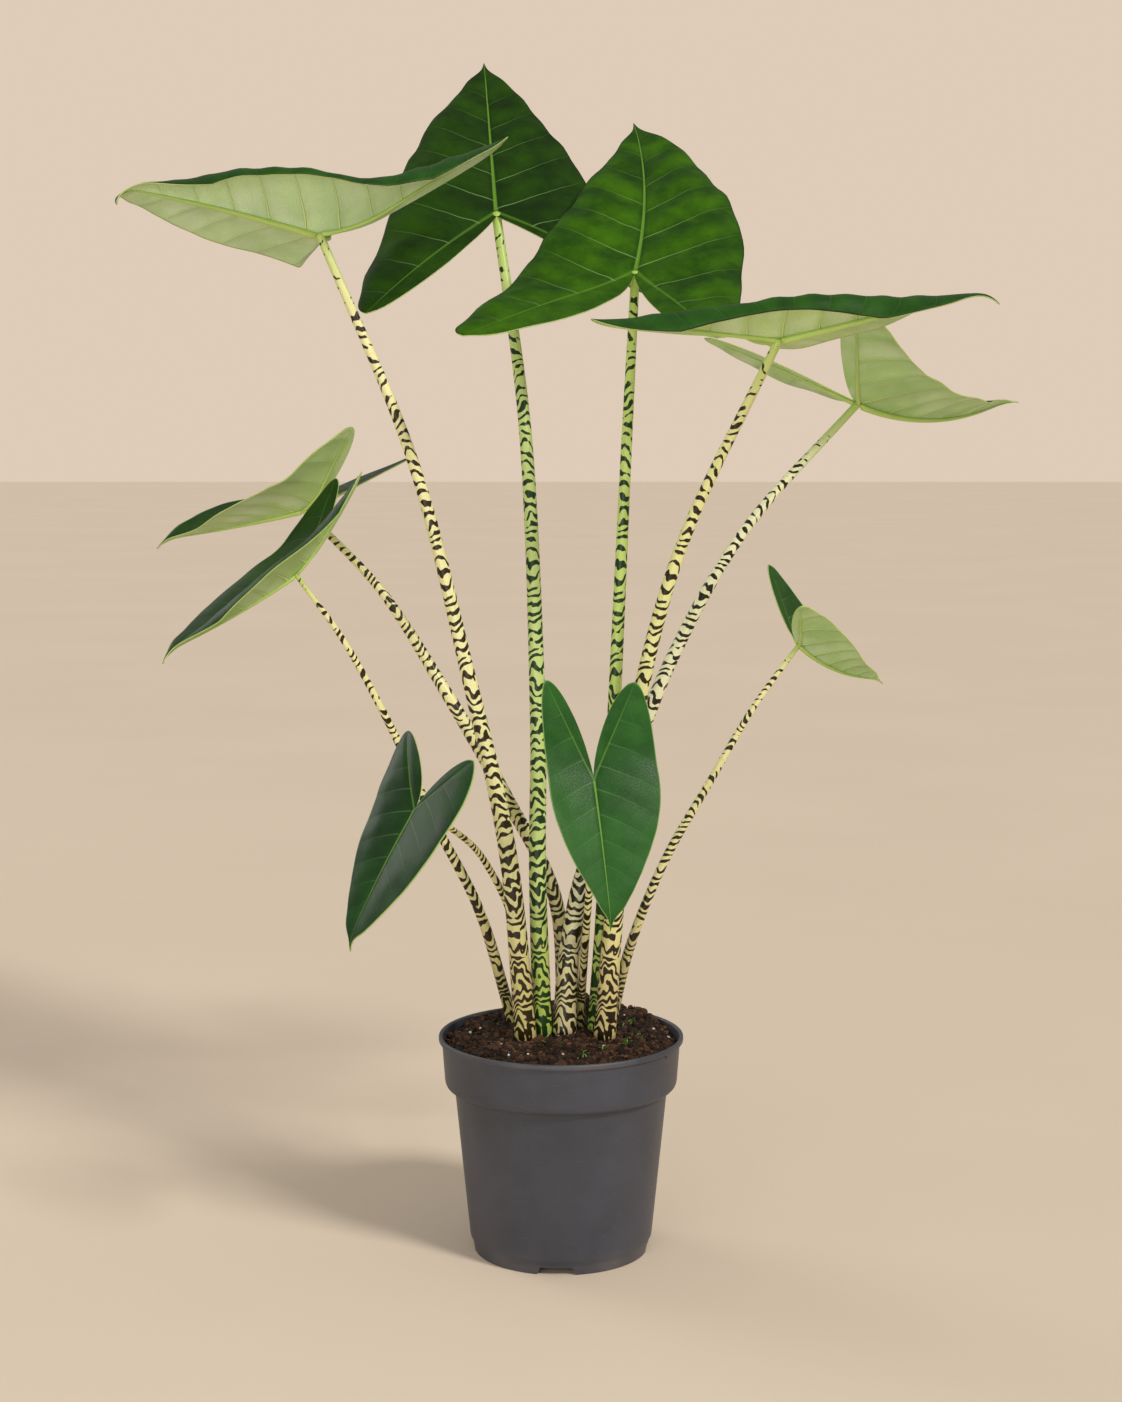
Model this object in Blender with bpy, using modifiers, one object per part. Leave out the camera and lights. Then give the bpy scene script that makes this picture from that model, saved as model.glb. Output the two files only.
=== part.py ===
"""Potted alocasia: a zebra plant with ten arrow-shaped leaves in a grey nursery pot.

Metres, +Z up, and -Y is the front. The origin is on the floor, under the middle of the plant's
overall box, so the axis of the pot stands a little to one side of it. All places below are measured
from the axis of the pot.
Each leaf is a blade on a petiole of its own, and each petiole stands in its own socket in the soil.
"""

import math
from dataclasses import dataclass

import bmesh
import bpy
from mathutils import Matrix, Vector
from mathutils.bvhtree import BVHTree

# Where the pot's axis stands, so that the origin is under the middle of the whole plant
AXIS_X = -0.030
AXIS_Y = -0.045

# Pot
POT_HEIGHT = 0.188
RIM_RADIUS = 0.105
RIM_DROP = 0.005
COLLAR_TOP_RADIUS = 0.1022
COLLAR_BOTTOM_RADIUS = 0.0994
COLLAR_DEPTH = 0.0435
STEP_RADIUS = 0.0915
BODY_FOOT_RADIUS = 0.0785
FOOT_RADIUS = 0.0750
FOOT_CHAMFER = 0.010
WALL = 0.0020
BASE_LIFT = 0.008
FOOT_RING = 0.005
FOOT_SLOPE = 0.003
STEP_SLOPE = 0.0012
RIM_WIDTH = 0.0036
RIM_ROUND = 0.0020
COLLAR_ROUND = 0.0042
LEDGE_ROUND = 0.0016
INSIDE_ROUND = 0.004
CORNER_CUT = 0.3
TURN_STEPS = 48
NOTCHES = 4
NOTCH_TURN = -3.0
NOTCH_FLOOR_WIDTH = 0.033
NOTCH_TOP_WIDTH = 0.027
NOTCH_HEIGHT = 0.0065
NOTCH_DEPTH = 0.024
DRAINS = 8
DRAIN_RADIUS = 0.006
DRAIN_DEPTH = 0.012
DRAIN_CIRCLE = 0.050

# Soil
CLEARANCE = 0.0003
SOIL_EDGE = 0.1785
SOIL_CROWN = 0.1900
SOIL_GAP = 0.0012
MOUND = [(0.0, 1.0), (0.44, 0.93), (0.69, 0.65), (0.87, 0.16), (1.0, 0.0)]
SOCKET_DEPTH = 0.024
SOCKET_TAPER = 0.94
SEAT_GAP = 0.00036

# Petioles
ROUTE_STEPS = 3
TIP_TRIM_STEP = 0.0005
TIP_RINGS = 12
TIP_SPOKES = 16
TIP_SWELL = 1.1

# Blades
BLADE_THICKNESS = 0.0011
BLADE_ROWS = 4
FRONT_STEPS = 8
LOBE_STEPS = 5
EDGE_ROLL_START = 0.70
EDGE_ROLL_FADE = 18.0
HOOK_START = 0.80
LOBE_BEND = 0.35
SINUS = 0.03
MIDRIB_STEPS = 24
DRIP_TIP = 0.55
DRIP_START = 0.84
DRIP_END = 0.95
FLARE_FRONT = 0.7
FLARE_BACK = 0.6

CHARCOAL = (0.065, 0.065, 0.074, 1.0)
PEAT = (0.030, 0.014, 0.008, 1.0)
CREAM_GREEN = (0.50, 0.55, 0.20, 1.0)
LEAF_GREEN = (0.035, 0.16, 0.025, 1.0)


@dataclass
class Outline:
    """Flat outline of half a blade, in midrib lengths.

    width is how far the margin stands out beside the joint. The lobe ends lobe behind the joint and
    spread out from the midrib's line. fullness rounds the front, plump rounds the lobe, and sinus
    keeps the lobe's inner margin out from the midrib's line.
    """

    width: float
    lobe: float
    spread: float
    fullness: float
    plump: float
    sinus: float


@dataclass
class Leaf:
    """One leaf. Pairs are (left half, right half), seen along the midrib with the top side up.

    route runs from the soil to the joint, where the blade starts. radii are those at the soil, half
    way up and under the blade. Angles are in degrees. heading turns the midrib from +Y towards -X,
    pitch lifts the tip and roll lifts the left half. arch and hook bend the midrib and its tip down,
    sweep swings it to the right and twist turns it over. fold lifts the halves, a negative curl bows
    them down, drop lowers the lobes and edge rolls the margin under.
    """

    name: str
    route: list
    radii: tuple
    outlines: tuple
    length: float
    heading: float
    pitch: float
    roll: float
    arch: float = 10
    hook: float = 40
    twist: float = 0
    sweep: float = 0
    fold: tuple = (15, 15)
    curl: tuple = (-15, -15)
    drop: tuple = (-20, -20)
    edge: tuple = (10, 10)


MATURE = Outline(width=0.39, lobe=0.56, spread=0.48, fullness=0.04, plump=0.90, sinus=0.22)
WIDE_SINUS = Outline(width=0.39, lobe=0.44, spread=0.54, fullness=0.04, plump=0.90, sinus=0.30)
FULL_LOBED = Outline(width=0.37, lobe=0.61, spread=0.49, fullness=0.04, plump=1.20, sinus=0.06)
HANGING = Outline(width=0.38, lobe=0.48, spread=0.34, fullness=0.08, plump=1.10, sinus=0.15)
LONG_LOBED = Outline(width=0.41, lobe=0.70, spread=0.48, fullness=0.06, plump=0.80, sinus=0.29)
SWEPT = Outline(width=0.42, lobe=0.90, spread=0.46, fullness=0.06, plump=0.80, sinus=0.27)
COMPACT = Outline(width=0.47, lobe=0.42, spread=0.33, fullness=0.18, plump=0.70, sinus=0.08)
OPEN = Outline(width=0.37, lobe=0.47, spread=0.49, fullness=0.12, plump=0.70, sinus=0.08)
YOUNG = Outline(width=0.37, lobe=0.70, spread=0.32, fullness=0.10, plump=0.70, sinus=0.08)
TUCKED = Outline(width=0.36, lobe=0.30, spread=0.22, fullness=0.40, plump=0.80, sinus=0.12)
SHORT_LOBED = Outline(width=0.43, lobe=0.36, spread=0.45, fullness=0.08, plump=0.70, sinus=0.10)
BROAD_SIDE = Outline(width=0.43, lobe=0.62, spread=0.33, fullness=0.10, plump=0.75, sinus=0.10)
SLENDER_SIDE = Outline(width=0.31, lobe=0.66, spread=0.27, fullness=0.0, plump=0.70, sinus=0.10)

LEAVES = [
    Leaf(
        name="upper_left",
        route=[(-0.030, -0.020, 0.190), (-0.045, -0.020, 0.350), (-0.078, -0.015, 0.500),
               (-0.124, -0.010, 0.680), (-0.200, 0.000, 0.865)],
        radii=(0.0090, 0.0062, 0.0034), outlines=(SWEPT, TUCKED), length=0.182,
        heading=108, pitch=15, roll=34, arch=10, hook=95,
        fold=(20, 20), curl=(-10, -14), drop=(-33, -66), edge=(100, 10),
    ),
    Leaf(
        name="top_back",
        route=[(-0.016, -0.006, 0.190), (-0.020, 0.000, 0.330), (-0.020, 0.014, 0.470),
               (-0.0305, 0.055, 0.700), (-0.0567, 0.110, 0.892)],
        radii=(0.0080, 0.0068, 0.0040), outlines=(MATURE, WIDE_SINUS), length=0.240,
        heading=5, pitch=41, roll=0, arch=0, hook=10,
        fold=(10, 10), curl=(-20, -20), drop=(0, 0), edge=(15, 5),
    ),
    Leaf(
        name="top_front",
        route=[(0.030, 0.004, 0.190), (0.036, -0.010, 0.300), (0.044, -0.020, 0.460),
               (0.054, -0.010, 0.680), (0.062, 0.010, 0.835)],
        radii=(0.0072, 0.0056, 0.0036), outlines=(FULL_LOBED, HANGING), length=0.24,
        heading=-12, pitch=40, roll=5, arch=5, hook=5, sweep=-17,
        fold=(10, 17), curl=(-10, -25), drop=(-13, -10), edge=(15, 20),
    ),
    Leaf(
        name="upper_right",
        route=[(0.037, -0.020, 0.190), (0.045, -0.026, 0.300), (0.060, -0.040, 0.455),
               (0.098, -0.065, 0.610), (0.172, -0.105, 0.775)],
        radii=(0.0092, 0.0068, 0.0034), outlines=(LONG_LOBED, LONG_LOBED), length=0.18,
        heading=-112, pitch=12, roll=-14, arch=0, hook=60,
        fold=(20, 15), curl=(-15, 0), drop=(-35, 0), edge=(10, 120),
    ),
    Leaf(
        name="middle_right",
        route=[(0.003, -0.004, 0.190), (0.007, 0.004, 0.255), (0.020, 0.012, 0.325),
               (0.048, 0.022, 0.390), (0.097, 0.045, 0.510), (0.162, 0.070, 0.620), (0.260, 0.095, 0.727)],
        radii=(0.0100, 0.0070, 0.0032), outlines=(MATURE, MATURE), length=0.20,
        heading=-55, pitch=-18, roll=0, arch=-42, hook=30,
        fold=(15, 25), curl=(-10, -10), drop=(-6, -10), edge=(0, 10),
    ),
    Leaf(
        name="middle_left_back",
        route=[(0.003, 0.024, 0.190), (-0.005, 0.026, 0.300), (-0.048, 0.030, 0.390),
               (-0.100, 0.040, 0.480), (-0.156, 0.060, 0.565), (-0.225, 0.080, 0.635)],
        radii=(0.0062, 0.0060, 0.0026), outlines=(BROAD_SIDE, YOUNG), length=0.145,
        heading=75, pitch=-14, roll=10, arch=-5, hook=40, twist=-38,
        fold=(20, 30), curl=(-15, -10), drop=(-30, -8), edge=(0, 0),
    ),
    Leaf(
        name="middle_left_front",
        route=[(-0.042, 0.030, 0.190), (-0.070, 0.020, 0.290), (-0.108, 0.010, 0.370),
               (-0.140, 0.000, 0.445), (-0.180, -0.015, 0.525), (-0.220, -0.030, 0.585)],
        radii=(0.0048, 0.0038, 0.0019), outlines=(YOUNG, YOUNG), length=0.135,
        heading=115, pitch=-33, roll=10, arch=-10, hook=45,
        fold=(30, 30), curl=(-5, -5), drop=(-15, -18), edge=(60, 10),
    ),
    Leaf(
        name="lower_left",
        route=[(-0.026, 0.014, 0.190), (-0.040, 0.010, 0.280), (-0.065, -0.030, 0.345),
               (-0.090, -0.080, 0.380), (-0.115, -0.150, 0.407)],
        radii=(0.0036, 0.0028, 0.0022), outlines=(COMPACT, OPEN), length=0.123,
        heading=121, pitch=-55, roll=-8, hook=30,
        fold=(10, 20), curl=(-10, -20), drop=(0, 5), edge=(10, 10),
    ),
    Leaf(
        name="lower_front",
        route=[(0.016, 0.012, 0.190), (0.020, -0.005, 0.260), (0.025, -0.050, 0.340),
               (0.030, -0.095, 0.395), (0.026, -0.145, 0.430)],
        radii=(0.0036, 0.0030, 0.0022), outlines=(BROAD_SIDE, SLENDER_SIDE), length=0.122,
        heading=-162, pitch=-65, roll=5, hook=35,
        fold=(10, 5), curl=(-15, 0), drop=(-15, -15), edge=(5, 0),
    ),
    Leaf(
        name="lower_right",
        route=[(0.043, 0.020, 0.190), (0.060, 0.022, 0.260), (0.090, 0.025, 0.335),
               (0.130, 0.030, 0.405), (0.165, 0.035, 0.465), (0.205, 0.040, 0.520)],
        radii=(0.0046, 0.0036, 0.0021), outlines=(YOUNG, SHORT_LOBED), length=0.098,
        heading=-62, pitch=-40, roll=0, arch=-40, hook=40,
        fold=(70, 38), curl=(-10, -10), drop=(-10, 20), edge=(0, 10),
    ),
]


def material(name, colour, roughness):
    """A plain Principled material."""
    made = bpy.data.materials.new(name)
    made.use_nodes = True
    shader = made.node_tree.nodes["Principled BSDF"]
    shader.inputs["Base Color"].default_value = colour
    shader.inputs["Roughness"].default_value = roughness
    shader.inputs["Metallic"].default_value = 0.0
    return made


def new_object(name, data, collection, finish=None):
    """Link an object on the axis of the pot, with its finish in the first slot."""
    made = bpy.data.objects.new(name, data)
    collection.objects.link(made)
    made.parent = bpy.data.objects["pot_axis"]
    if finish is not None:
        data.materials.append(finish)
    return made


def cut(target, cutter):
    """Take the cutter away from the target with an exact Boolean."""
    modifier = target.modifiers.new("cut_" + cutter.name, "BOOLEAN")
    modifier.operation = "DIFFERENCE"
    modifier.solver = "EXACT"
    modifier.object = cutter


def as_cutter(made):
    """Show an object as a cutter only."""
    made.hide_render = True
    made.display_type = "WIRE"
    return made


def turned(name, profile, collection, finish):
    """Turn a profile of (radius, height) points round the Z axis."""
    mesh = bpy.data.meshes.new(name)
    points = [(radius, 0.0, height) for radius, height in profile]
    mesh.from_pydata(points, [(i, i + 1) for i in range(len(points) - 1)], [])
    made = new_object(name, mesh, collection, finish)
    screw = made.modifiers.new("turn", "SCREW")
    screw.steps = TURN_STEPS
    screw.render_steps = TURN_STEPS
    screw.use_merge_vertices = True
    screw.merge_threshold = 0.00005
    return made


# ---------------------------------------------------------------- pot and soil

def pot_outside():
    """Outer line of the pot from the top of the rim down to the foot."""
    collar_bottom = POT_HEIGHT - COLLAR_DEPTH
    rim_bottom = POT_HEIGHT - RIM_DROP
    rim_cut = RIM_ROUND * CORNER_CUT
    collar_cut = COLLAR_ROUND * CORNER_CUT
    return [
        (RIM_RADIUS - RIM_ROUND, POT_HEIGHT),
        (RIM_RADIUS - rim_cut, POT_HEIGHT - rim_cut),
        (RIM_RADIUS, POT_HEIGHT - RIM_ROUND),
        (RIM_RADIUS, rim_bottom + RIM_ROUND / 2),
        (COLLAR_TOP_RADIUS, rim_bottom),
        (COLLAR_BOTTOM_RADIUS, collar_bottom + COLLAR_ROUND),
        (COLLAR_BOTTOM_RADIUS - collar_cut, collar_bottom + collar_cut),
        (COLLAR_BOTTOM_RADIUS - COLLAR_ROUND, collar_bottom),
        (STEP_RADIUS, collar_bottom - STEP_SLOPE),
        (BODY_FOOT_RADIUS, FOOT_CHAMFER + FOOT_SLOPE),
        (FOOT_RADIUS + FOOT_SLOPE / 3, FOOT_CHAMFER - FOOT_SLOPE),
        (FOOT_RADIUS, 0.0),
    ]


def inner_wall(height):
    """Inner radius of the pot body, below the collar, at a height."""
    top = POT_HEIGHT - COLLAR_DEPTH - STEP_SLOPE
    bottom = FOOT_CHAMFER + FOOT_SLOPE
    share = (height - bottom) / (top - bottom)
    return BODY_FOOT_RADIUS + share * (STEP_RADIUS - BODY_FOOT_RADIUS) - WALL


def pot_inside():
    """Inner line of the pot from the middle of the base up to the rim."""
    floor = BASE_LIFT + WALL
    collar_bottom = POT_HEIGHT - COLLAR_DEPTH
    step = collar_bottom + WALL
    return [
        (0.0, floor),
        (inner_wall(floor) - INSIDE_ROUND, floor),
        (inner_wall(floor + INSIDE_ROUND), floor + INSIDE_ROUND),
        (inner_wall(collar_bottom), step),
        (COLLAR_BOTTOM_RADIUS - WALL - LEDGE_ROUND, step + LEDGE_ROUND / 2),
        (COLLAR_BOTTOM_RADIUS - WALL, step + LEDGE_ROUND * 2.5),
        (RIM_RADIUS - RIM_WIDTH, POT_HEIGHT - RIM_ROUND / 2),
    ]


def make_pot(collection, cutters, finish):
    """Rolled rim, deep collar, tapered body and a raised base on a notched foot ring."""
    under = [(FOOT_RADIUS - FOOT_RING, 0.0), (FOOT_RADIUS - FOOT_RING, BASE_LIFT), (0.0, BASE_LIFT)]
    pot = turned("pot", pot_outside() + under + pot_inside() + pot_outside()[:1], collection, finish)
    for number in range(NOTCHES):
        cut(pot, foot_notch(number, cutters))
    for number in range(DRAINS):
        cut(pot, drain_hole(number, cutters))
    return pot


def foot_notch(number, cutters):
    """A wedge that opens the foot ring, wider at the floor."""
    mesh = bpy.data.meshes.new("foot_notch")
    frame = bmesh.new()
    bmesh.ops.create_cube(frame, size=1.0)
    for vert in frame.verts:
        width = NOTCH_FLOOR_WIDTH if vert.co.z < 0 else NOTCH_TOP_WIDTH
        height = -NOTCH_HEIGHT if vert.co.z < 0 else NOTCH_HEIGHT
        slope = (NOTCH_FLOOR_WIDTH - NOTCH_TOP_WIDTH) / 2 if vert.co.z < 0 else 0.0
        side = math.copysign(width / 2 + slope, vert.co.x)
        vert.co = Vector((side, -FOOT_RADIUS + vert.co.y * NOTCH_DEPTH, height))
    frame.to_mesh(mesh)
    frame.free()
    made = as_cutter(new_object(f"foot_notch_{number}", mesh, cutters))
    made.rotation_euler.z = math.radians(NOTCH_TURN + number * 360 / NOTCHES)
    return made


def drain_hole(number, cutters):
    """A round hole through the base."""
    mesh = bpy.data.meshes.new("drain_hole")
    frame = bmesh.new()
    bmesh.ops.create_cone(frame, cap_ends=True, segments=16, radius1=DRAIN_RADIUS,
                          radius2=DRAIN_RADIUS, depth=DRAIN_DEPTH)
    frame.to_mesh(mesh)
    frame.free()
    made = as_cutter(new_object(f"drain_hole_{number}", mesh, cutters))
    turn = math.radians(NOTCH_TURN + (number + 0.5) * 360 / DRAINS)
    made.location = (DRAIN_CIRCLE * math.cos(turn), DRAIN_CIRCLE * math.sin(turn), BASE_LIFT)
    return made


def make_soil(collection, cutters, finish):
    """The potting mix: it fills the pot and rises in a low mound round the petioles."""
    floor = BASE_LIFT + WALL + CLEARANCE
    collar_bottom = POT_HEIGHT - COLLAR_DEPTH
    step = collar_bottom + WALL
    top_radius = RIM_RADIUS - RIM_WIDTH - SOIL_GAP
    rise = SOIL_CROWN - SOIL_EDGE
    mound = [(out * top_radius, SOIL_EDGE + high * rise) for out, high in MOUND]
    wall = [
        (COLLAR_BOTTOM_RADIUS - WALL - CLEARANCE, step + LEDGE_ROUND * 2.5 + CLEARANCE * 2),
        (COLLAR_BOTTOM_RADIUS - WALL - LEDGE_ROUND - CLEARANCE * 2, step + LEDGE_ROUND / 2 + CLEARANCE * 3),
        (inner_wall(collar_bottom) - CLEARANCE * 2, step + CLEARANCE * 1.5),
        (inner_wall(floor + INSIDE_ROUND * 1.5) - CLEARANCE, floor + INSIDE_ROUND * 1.5),
        (inner_wall(floor) - INSIDE_ROUND * 1.5, floor),
        (0.0, floor),
    ]
    soil = turned("soil", mound + wall, collection, finish)
    for leaf in LEAVES:
        cut(soil, petiole_socket(leaf, cutters))
    return soil


# ---------------------------------------------------------------- petioles

def smooth_route(points, steps):
    """Points of a smooth curve (Catmull-Rom) through the given ones, steps to a stretch."""
    knots = [Vector(point) for point in points]
    knots = [2 * knots[0] - knots[1]] + knots + [2 * knots[-1] - knots[-2]]
    course = []
    for before, start, end, after in zip(knots, knots[1:], knots[2:], knots[3:]):
        for step in range(steps):
            t = step / steps
            course.append(0.5 * (2 * start + (end - before) * t
                                 + (2 * before - 5 * start + 4 * end - after) * t ** 2
                                 + (3 * start - before - 3 * end + after) * t ** 3))
    course.append(knots[-2])
    return course


def petiole_radius(leaf, share):
    """Radius at a share of the way up: stout at the soil, slim under the blade."""
    base, middle, tip = leaf.radii
    if share < 0.5:
        return base + (middle - base) * share * 2
    return middle + (tip - middle) * (share * 2 - 1)


def tube(name, course, radii, collection):
    """A tapering tube with filled ends, along a poly curve."""
    curve = bpy.data.curves.new(name, "CURVE")
    curve.dimensions = "3D"
    curve.bevel_depth = 1.0
    curve.bevel_resolution = 2
    curve.use_fill_caps = True
    spline = curve.splines.new("POLY")
    spline.points.add(len(course) - 1)
    for point, place, radius in zip(spline.points, course, radii):
        point.co = (*place, 1.0)
        point.radius = radius
    return new_object(name, curve, collection)


def closed_mesh(made):
    """Replace a tube by a mesh whose end caps are welded on."""
    graph = bpy.context.evaluated_depsgraph_get()
    mesh = bpy.data.meshes.new_from_object(made.evaluated_get(graph))
    frame = bmesh.new()
    frame.from_mesh(mesh)
    bmesh.ops.remove_doubles(frame, verts=frame.verts, dist=0.00001)
    frame.to_mesh(mesh)
    frame.free()
    name = made.name
    collection = made.users_collection[0]
    bpy.data.objects.remove(made)
    return new_object(name, mesh, collection)


def petiole_course(leaf):
    """Centre line and radii of a petiole, from the bottom of its socket to the joint."""
    course = smooth_route(leaf.route, ROUTE_STEPS)
    last = len(course) - 1
    radii = [petiole_radius(leaf, number / last) for number in range(len(course))]
    down = (course[0] - course[1]).normalized()
    return [course[0] + down * SOCKET_DEPTH] + course, [radii[0] * SOCKET_TAPER] + radii


def petiole_socket(leaf, cutters):
    """The hole that a petiole stands in, one clearance larger than its foot all round."""
    course, radii = petiole_course(leaf)
    down = (course[0] - course[1]).normalized()
    course[0] = course[0] + down * CLEARANCE
    wide = [radius + SEAT_GAP for radius in radii]
    return as_cutter(closed_mesh(tube("socket_" + leaf.name, course[:4], wide[:4], cutters)))


def tip_probes(course, radii):
    """Points spread over the end face of a petiole and down the sides of its last stretch."""
    axis = (course[-1] - course[-2]).normalized()
    side = axis.orthogonal().normalized()
    rings = [(course[-1], radii[-1] * share) for share in (0.0, 0.5, 1.0)]
    rings += [(course[-1] - axis * down * BLADE_THICKNESS, radii[-1] * TIP_SWELL) for down in range(1, TIP_RINGS)]
    spokes = [Matrix.Rotation(math.tau * turn / TIP_SPOKES, 3, axis) @ side for turn in range(TIP_SPOKES)]
    return [centre + spoke * radius for centre, radius in rings for spoke in spokes]


def trim_to_blade(course, radii, blade_tree):
    """Shorten a petiole until its upper end just clears the underside of its blade."""
    axis = (course[-1] - course[-2]).normalized()
    tip = course[-1]
    gap = 0.0
    while gap < SEAT_GAP:
        tip = tip - axis * TIP_TRIM_STEP
        probes = tip_probes(course[:-1] + [tip], radii)
        gap = min(blade_tree.find_nearest(probe)[3] for probe in probes)
    return tip


def make_petiole(leaf, blade, collection, finish):
    """A zebra-banded stalk from its socket in the soil to the joint of its blade."""
    course, radii = petiole_course(leaf)
    blade_tree = BVHTree.FromObject(blade, bpy.context.evaluated_depsgraph_get())
    from_blade = blade_frame(leaf)
    to_blade = from_blade.inverted()
    course[-1] = from_blade @ trim_to_blade([to_blade @ place for place in course], radii, blade_tree)
    petiole = closed_mesh(tube("petiole_" + leaf.name, course, radii, collection))
    petiole.data.materials.append(finish)
    petiole.data.shade_smooth()
    return petiole


# ---------------------------------------------------------------- blades

def bezier(a, b, c, d, steps):
    """Points of a flat cubic curve, both ends included."""
    points = []
    for step in range(steps + 1):
        t = step / steps
        weights = ((1 - t) ** 3, 3 * (1 - t) ** 2 * t, 3 * (1 - t) * t ** 2, t ** 3)
        points.append(sum((w * Vector(p) for w, p in zip(weights, (a, b, c, d))), Vector((0, 0))))
    return points


def step_up(value, low, high):
    """A smooth step from 0 at low to 1 at high."""
    share = min(1.0, max(0.0, (value - low) / (high - low)))
    return share * share * (3 - 2 * share)


def half_margin(outline, length):
    """Margin of one half of the flat blade, tip first: x out from the midrib, y forward."""
    width, lobe, spread = outline.width, outline.lobe, outline.spread
    plump = width * outline.plump
    shoulder = (width, 0.02)
    lobe_tip = (spread, -lobe)
    flare = max(0.0, spread - width)
    front = bezier((0, 1), ((0.12 + outline.fullness) * width, 0.80), (width - FLARE_FRONT * flare, 0.50),
                   shoulder, FRONT_STEPS)
    outer = bezier(shoulder, (width + FLARE_BACK * flare, -0.40 * lobe),
                   (spread + 0.25 * plump, -0.92 * lobe), lobe_tip, LOBE_STEPS)
    inner = bezier(lobe_tip, (spread - 0.35 * plump, -1.04 * lobe),
                   (outline.sinus * width, (outline.sinus - 0.60) * lobe), (0, -SINUS), LOBE_STEPS)
    drawn_in = [Vector((point.x * (1 - DRIP_TIP * step_up(point.y, DRIP_START, DRIP_END)), point.y))
                for point in front]
    return [point * length for point in drawn_in + outer[1:] + inner[1:]]


def arc(length, turn):
    """End of an arc that starts level and turns up evenly: how far along, how far up."""
    if abs(turn) < 1e-6:
        return length, 0.0
    chord = length * math.sin(turn / 2) / (turn / 2)
    return chord * math.cos(turn / 2), chord * math.sin(turn / 2)


def lobe_bend(leaf, side, back):
    """Tilt of a lobe at a way behind the joint, and how far behind and below the joint it is there."""
    bend = LOBE_BEND * leaf.outlines[side].lobe * leaf.length
    drop = math.radians(leaf.drop[side]) * min(1.0, back / bend)
    behind, below = arc(min(back, bend), drop)
    beyond = max(0.0, back - bend)
    return drop, behind + beyond * math.cos(drop), below + beyond * math.sin(drop)


def midrib_turn(leaf, share):
    """How far the midrib slopes down and swings to the right at a share of its length."""
    past_hook = max(0.0, share - HOOK_START) / (1 - HOOK_START)
    slope = math.radians(leaf.arch * share + leaf.hook * past_hook ** 1.5)
    return slope, math.radians(leaf.sweep * share)


def midrib_course(leaf):
    """Places of the bent midrib at even steps from the joint to the tip."""
    course = [Vector((0, 0, 0))]
    for step in range(MIDRIB_STEPS):
        slope, swing = midrib_turn(leaf, (step + 0.5) / MIDRIB_STEPS)
        level = math.cos(slope)
        ahead = Vector((level * math.sin(swing), level * math.cos(swing), -math.sin(slope)))
        course.append(course[-1] + ahead * leaf.length / MIDRIB_STEPS)
    return course


def on_midrib(course, share):
    """Place on the midrib at a share of its length."""
    position = min(share * MIDRIB_STEPS, MIDRIB_STEPS - 1e-6)
    step = int(position)
    return course[step].lerp(course[step + 1], position - step)


def rolled_edge(leaf, side, margin, out):
    """A point of the flat half on the way out to a margin point, with its edge rolled down."""
    reach = margin.length
    across, along = margin / reach
    if out <= EDGE_ROLL_START:
        return across * reach * out, along * reach * out, 0.0
    past = (out - EDGE_ROLL_START) / (1 - EDGE_ROLL_START)
    bearing = math.atan2(across, along)
    lobe_bearing = math.atan2(leaf.outlines[side].spread, -leaf.outlines[side].lobe)
    fade = min(bearing, lobe_bearing - bearing) / math.radians(EDGE_ROLL_FADE)
    turn = math.radians(leaf.edge[side]) * past * min(1.0, max(0.0, fade))
    on, down = arc((out - EDGE_ROLL_START) * reach, turn)
    radius = EDGE_ROLL_START * reach + on
    return across * radius, along * radius, -down


def blade_point(leaf, course, side, margin, out):
    """A point of the bent blade: out is 0 at the joint and 1 at the margin."""
    across, along, lift = rolled_edge(leaf, side, margin, out)
    fold = math.radians(leaf.fold[side])
    curl = math.radians(leaf.curl[side]) * across / (leaf.outlines[side].width * leaf.length)
    flat, rise = arc(across, curl)
    x = flat * math.cos(fold) - rise * math.sin(fold) - lift * math.sin(fold + curl)
    z = flat * math.sin(fold) + rise * math.cos(fold) + lift * math.cos(fold + curl)
    x = x if side else -x
    ahead = max(0.0, along) / leaf.length
    twist = math.radians(leaf.twist) * ahead
    x, z = x * math.cos(twist) + z * math.sin(twist), z * math.cos(twist) - x * math.sin(twist)
    place = on_midrib(course, ahead)
    slope, swing = midrib_turn(leaf, ahead)
    back = max(0.0, -along)
    drop, behind, below = lobe_bend(leaf, side, back)
    tilt = slope - drop
    offset = Vector((x * math.cos(swing), z * math.sin(tilt) - x * math.sin(swing), z * math.cos(tilt)))
    return place + Vector((0, -behind, -below)) + offset


def blade_frame(leaf):
    """Where the blade stands: at its joint, turned to its heading, pitch and roll."""
    turn = Matrix.Rotation(math.radians(leaf.heading), 4, "Z")
    turn = turn @ Matrix.Rotation(math.radians(leaf.pitch), 4, "X")
    turn = turn @ Matrix.Rotation(math.radians(leaf.roll), 4, "Y")
    return Matrix.Translation(leaf.route[-1]) @ turn


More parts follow.
